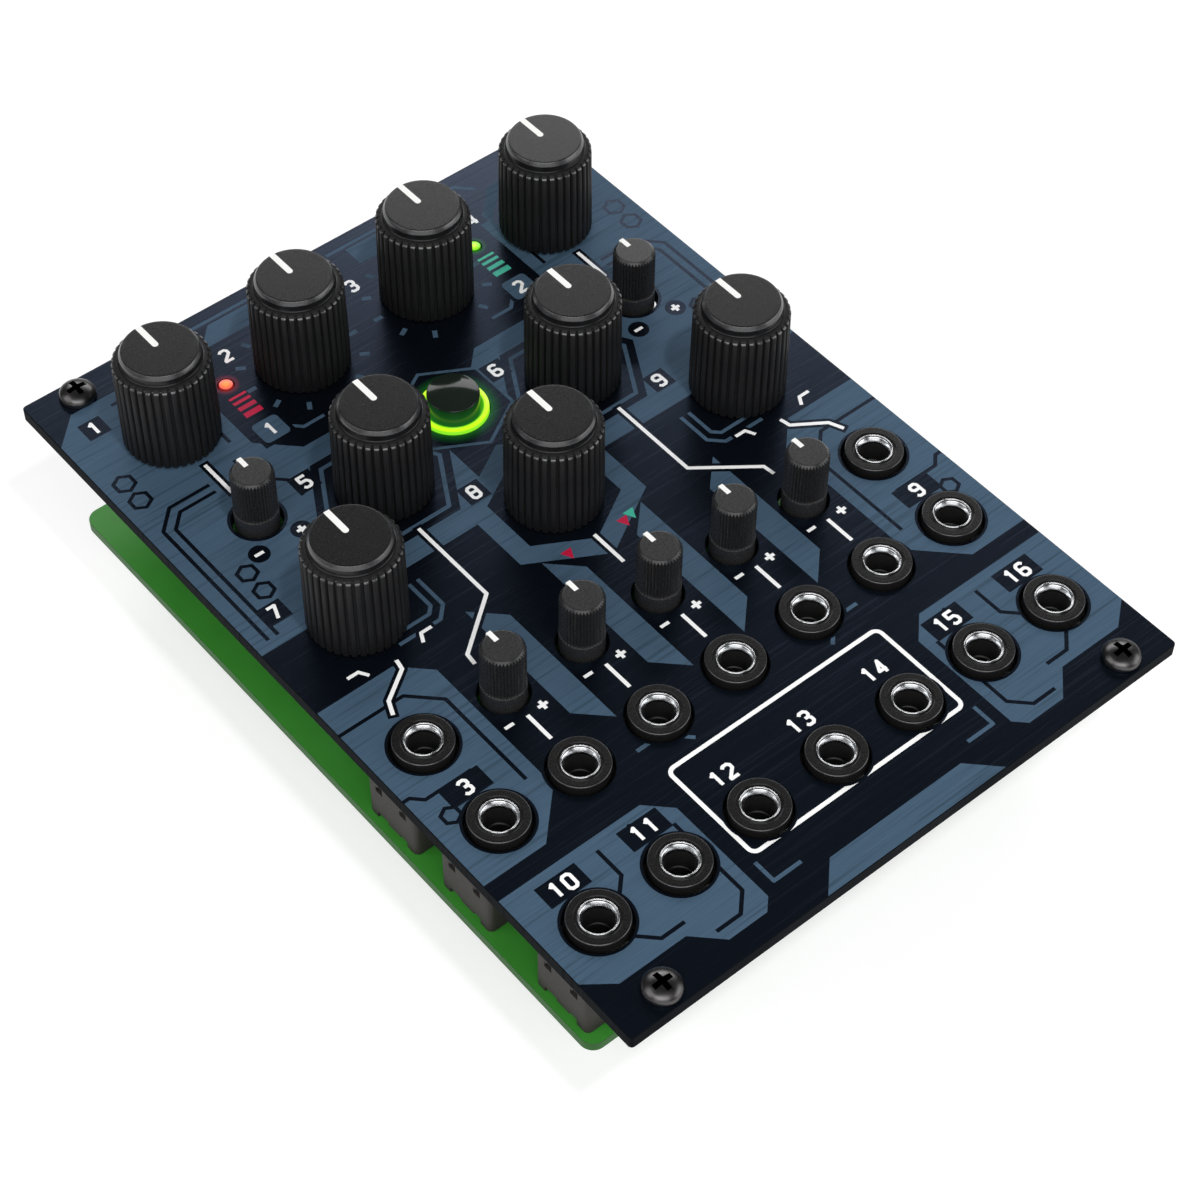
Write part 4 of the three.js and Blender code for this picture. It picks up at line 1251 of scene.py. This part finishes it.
def take(x, y, width, height):
    """Claims a rectangle of the board's back, if it is free."""
    low_x, low_y, high_x, high_y = x - width / 2, y - height / 2, x + width / 2, y + height / 2
    if low_x < board_low.x + 1 or high_x > board_high.x - 1:
        return False
    if any(low_x < c and high_x > a and low_y < d and high_y > b for a, b, c, d in taken):
        return False
    taken.append((low_x, low_y, high_x, high_y))
    return True


def bar(low, high, finish=0):
    outline = box_outline(low, high)
    return stacked([(outline, low[2]), (outline, high[2])], finish)


def chip():
    """A chip below the origin, its row of leads along X."""
    outline = rectangle(0, 0, CHIP_LENGTH, CHIP_WIDTH)
    small, waist = inset(outline, 0.15), -CHIP_HEIGHT / 2
    shells = [stacked([(small, -CHIP_HEIGHT), (outline, waist), (small, -0.1)])]
    dot = turned(band(0, -CHIP_HEIGHT, (0, -0.05), (0.4, -0.05), (0.4, 0.02), (0, 0.02)), 16)
    shells.append(moved(dot, 0.8 - CHIP_LENGTH / 2, 0.9 - CHIP_WIDTH / 2))
    for place in range(CHIP_ROW):
        x = (place - (CHIP_ROW - 1) / 2) * CHIP_PITCH
        a, b = x - LEAD_WIDTH / 2, x + LEAD_WIDTH / 2
        for side in (-1, 1):
            edge, knee, end = (side * (CHIP_WIDTH / 2 + reach) for reach in (-0.1, 0.3, LEAD_REACH))
            for near, far, low, high in ((edge, knee, waist - 0.1, waist + 0.1),
                                         (knee - side * 0.1, knee + side * 0.1, waist - 0.1, 0),
                                         (knee, end, -LEAD_HEIGHT, 0)):
                shells.append(bar((a, min(near, far), low), (b, max(near, far), high), 1))
    return joined(shells)


def small_part(finish):
    """A ceramic block below the origin with tinned ends."""
    half, side, inner = PART_LENGTH / 2, PART_WIDTH / 2, PART_LENGTH / 2 - PART_END
    skin = 0.03
    shells = [bar((-inner, skin - side, skin - PART_HEIGHT), (inner, side - skin, -0.02), finish)]
    for low, high in ((-half, -inner), (inner, half)):
        shells.append(bar((low, -side, -PART_HEIGHT), (high, side, 0), 1))
    return joined(shells)


print("a chip has", len(chip()[1]), "faces")

# %% [markdown]
# ## Where the surface parts lie
# The back of the board is filled row by row, chips first and small parts in the rest. Every fifth
# place stays empty, because a real board is never quite full.

# %% Places of the surface parts
chips, parts = [], []
board_width, board_depth = board_high.x - board_low.x, board_high.y - board_low.y
for row in range(int(board_depth / CHIP_ROWS)):
    for column in range(int(board_width / CHIP_STEP)):
        x, y = board_low.x + 2 + column * CHIP_STEP, board_low.y + 5 + row * CHIP_ROWS
        if take(x, y, CHIP_LENGTH + 0.8, CHIP_WIDTH + 2 * LEAD_REACH + 0.6):
            chips.append(moved(chip(), x, y, board_back))
for row in range(int(board_depth / PART_ROWS) - 1):
    for column in range(int(board_width / PART_STEP)):
        x, y = board_low.x + 2.6 + column * PART_STEP, board_low.y + 2.2 + row * PART_ROWS
        if (row + 2 * column) % 5 and take(x, y, PART_LENGTH + 0.5, PART_WIDTH + 0.4):
            parts.append(moved(small_part(0 if (row // 2 + column) % 3 else 2), x, y, board_back))
part_finishes = [chip_epoxy, solder, part_ceramic]
put("chips", mesh_of("chips", joined(chips), part_finishes[:2]))
put("small_parts", mesh_of("small_parts", joined(parts), part_finishes))
print("surface parts", len(chips), "chips and", len(parts), "small parts")

# %% [markdown]
# ## Power header
# A shrouded ribbon-cable header: a moulded box with a key notch and two rows of square pins with
# pointed tips. The notch and the well are cut by a boolean, and the pins are stacked outlines.

# %% Power header
HEADER_WALL, HEADER_FLOOR, KEY_WIDTH = 1.25, 1.6, 4.5
PIN_SIZE, PIN_PITCH, PIN_LENGTH = 0.64, 2.54, 6.0
header_x, header_y = spot("power_header")
well_floor = board_back - HEADER_FLOOR


def header_shroud():
    outline = box_outline(header_low, header_high)
    body = bevelled(rounded(outline, 0.3, 3), header_low.z, board_back, 0.12)
    well, mouth = inset(outline, HEADER_WALL), inset(outline, HEADER_WALL - 0.35)
    cutters = [stacked([(mouth, header_low.z - 0.4), (well, header_low.z + 0.5), (well, well_floor)])]
    cutters.append(bar((header_low.x - 1, header_y - KEY_WIDTH / 2, header_low.z - 0.5),
                       (header_low.x + HEADER_WALL + 0.1, header_y + KEY_WIDTH / 2, well_floor - 0.01)))
    return carved("header_shroud", body, cutters, [header_pbt])


def header_pins():
    pins, low = [], well_floor - PIN_LENGTH
    for column in (-0.5, 0.5):
        for row in range(-2, 3):
            x, y = header_x + column * PIN_PITCH, header_y + row * PIN_PITCH
            square = rectangle(x, y, PIN_SIZE, PIN_SIZE)
            tip = inset(square, 0.18)
            pins.append(stacked([(tip, low), (square, low + 0.35), (square, well_floor + 0.3)]))
    return joined(pins)


put("header_shroud", header_shroud(), stands_for=["power_header"])
put("header_pins", mesh_of("header_pins", header_pins(), [gold_plate]))
print("power header", round(header_high.y - header_low.y, 1), "mm long")

# %% [markdown]
# ## Carried-over solids
# The potentiometers and the switch keep their solids, because their shape is right: only the finish
# is missing. Their cases are stamped steel or black resin.

# %% Finishes of the kept solids
kept = {f"large_pot_{number}": stamped_steel for number in range(1, 10)}
kept.update({f"small_pot_{number}": pot_resin for number in range(1, 8)})
kept["button_switch"] = pot_resin
for node, finish in kept.items():
    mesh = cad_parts[node].data
    mesh.materials.clear()
    mesh.materials.append(finish)
print("kept solids", len(kept))

# %% [markdown]
# ## Floor
# The module lies on plain white with a faint soft shadow, so the floor glows at nearly full white
# and only a small part of it answers to the light.

# %% Floor
FLOOR_DROP, FLOOR_SIZE = 0.6, 6000
PAPER, PAPER_GLOW = 0.5, 0.6


def floor_material():
    made = start_material("white_paper_floor")
    tree = made.node_tree
    tree.nodes.clear()
    paper = add(tree, "ShaderNodeBsdfDiffuse", {"Color": (PAPER, PAPER, PAPER, 1)})
    path = add(tree, "ShaderNodeLightPath")
    seen = add(tree, "ShaderNodeMath", {
        0: path.outputs["Is Camera Ray"], 1: path.outputs["Is Glossy Ray"]}, operation="ADD")
    clear = add(tree, "ShaderNodeMath", {
        0: seen.outputs[0], 1: path.outputs["Is Transmission Ray"]}, operation="ADD")
    level = add(tree, "ShaderNodeMath", {0: clear.outputs[0], 1: PAPER_GLOW}, operation="MULTIPLY")
    glow = add(tree, "ShaderNodeEmission", {"Color": (1, 1, 1, 1), "Strength": level.outputs[0]})
    both = add(tree, "ShaderNodeAddShader", {0: paper.outputs[0], 1: glow.outputs[0]})
    add(tree, "ShaderNodeOutputMaterial", {"Surface": both.outputs[0]})
    return made


floor_level = header_low.z - FLOOR_DROP
floor_points = [(x, y, floor_level) for x, y in rectangle(0, 0, FLOOR_SIZE, FLOOR_SIZE)]
floor_mesh = mesh_of("floor", (floor_points, [(0, 1, 2, 3)], [0]), [floor_material()])
show("floor", floor_mesh)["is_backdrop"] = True
print("floor at", round(floor_level, 2), "mm")

# %% [markdown]
# ## Light and world
# A dim world fills the shadows, soft lamps beside the camera draw the bevels and the screws, and a
# wide soft lamp opposite it lies in the mirror direction of the button and the sockets. Two tiny
# lamps throw the colour of the lit lenses on the knobs beside them.

# %% Lamps and world
GLOW_RISE = 1.5
WORLD_LEVEL = 0.07


def light(name, kind, at, energy, colour="#ffffff", **settings):
    """A lamp at a place in millimetres."""
    data = bpy.data.lights.new(name, kind)
    data.energy = energy
    data.color = linear(colour)[:3]
    for key, value in settings.items():
        setattr(data, key, value)
    made = show(name, data)
    made.location = Vector(at) * MM
    return made


def soft_lamp(name, toward, distance, width, height, radiance):
    """A rectangular lamp that faces the module from a direction; sizes in millimetres."""
    direction = Vector(toward).normalized()
    energy = radiance * math.pi * width * height * MM * MM
    made = light(name, "AREA", direction * distance, energy, shape="RECTANGLE", size=width * MM,
                 size_y=height * MM)
    made.rotation_mode = "QUATERNION"
    made.rotation_quaternion = direction.to_track_quat("Z", "Y")
    return made


soft_lamp("overhead_lamp", (-0.053, -0.45, 1), 1300, 80, 80, 230).visible_glossy = False
soft_lamp("camera_side_lamp", (-0.54, -0.64, 0.88), 1200, 1200, 600, 3.2)
soft_lamp("low_front_lamp", (-0.6, -0.7, 0.22), 1200, 1600, 350, 1.2)
soft_lamp("far_side_lamp", (0.539, 0.642, 0.545), 1300, 1500, 350, 4.5)
soft_lamp("left_lamp", (-0.85, 0.35, 0.75), 1300, 900, 900, 1.6)
soft_lamp("right_lamp", (0.68, -0.62, 0.35), 1300, 1100, 700, 2.2)
for name, at, energy, colour in (("red_glow", red_spot, 0.0002, "#ff2a20"),
                                 ("green_glow", green_spot, 0.00015, "#6dff20")):
    place = (*at, panel_front + GLOW_RISE)
    light(name, "POINT", place, energy, colour, shadow_soft_size=MM).visible_glossy = False

world = bpy.data.worlds.new("studio")
bpy.context.scene.world = world
world.use_nodes = True
backdrop = world.node_tree.nodes["Background"]
backdrop.inputs["Color"].default_value = (1, 1, 1, 1)
backdrop.inputs["Strength"].default_value = WORLD_LEVEL
bpy.context.scene.view_settings.view_transform = "Standard"
print("lamps", len(bpy.data.lights))

# %% [markdown]
# ## Sizes
# The dressed module has to be as large as its solids, so both boxes are written side by side.

# %% Sizes and the end
visual_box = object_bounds()
boxes = {"cad": [list(corner) for corner in cad_box],
         "visual": [list(corner) for corner in visual_box]}
for name, (low, high) in boxes.items():
    print(name, [round((b - a) / MM, 2) for a, b in zip(low, high)])
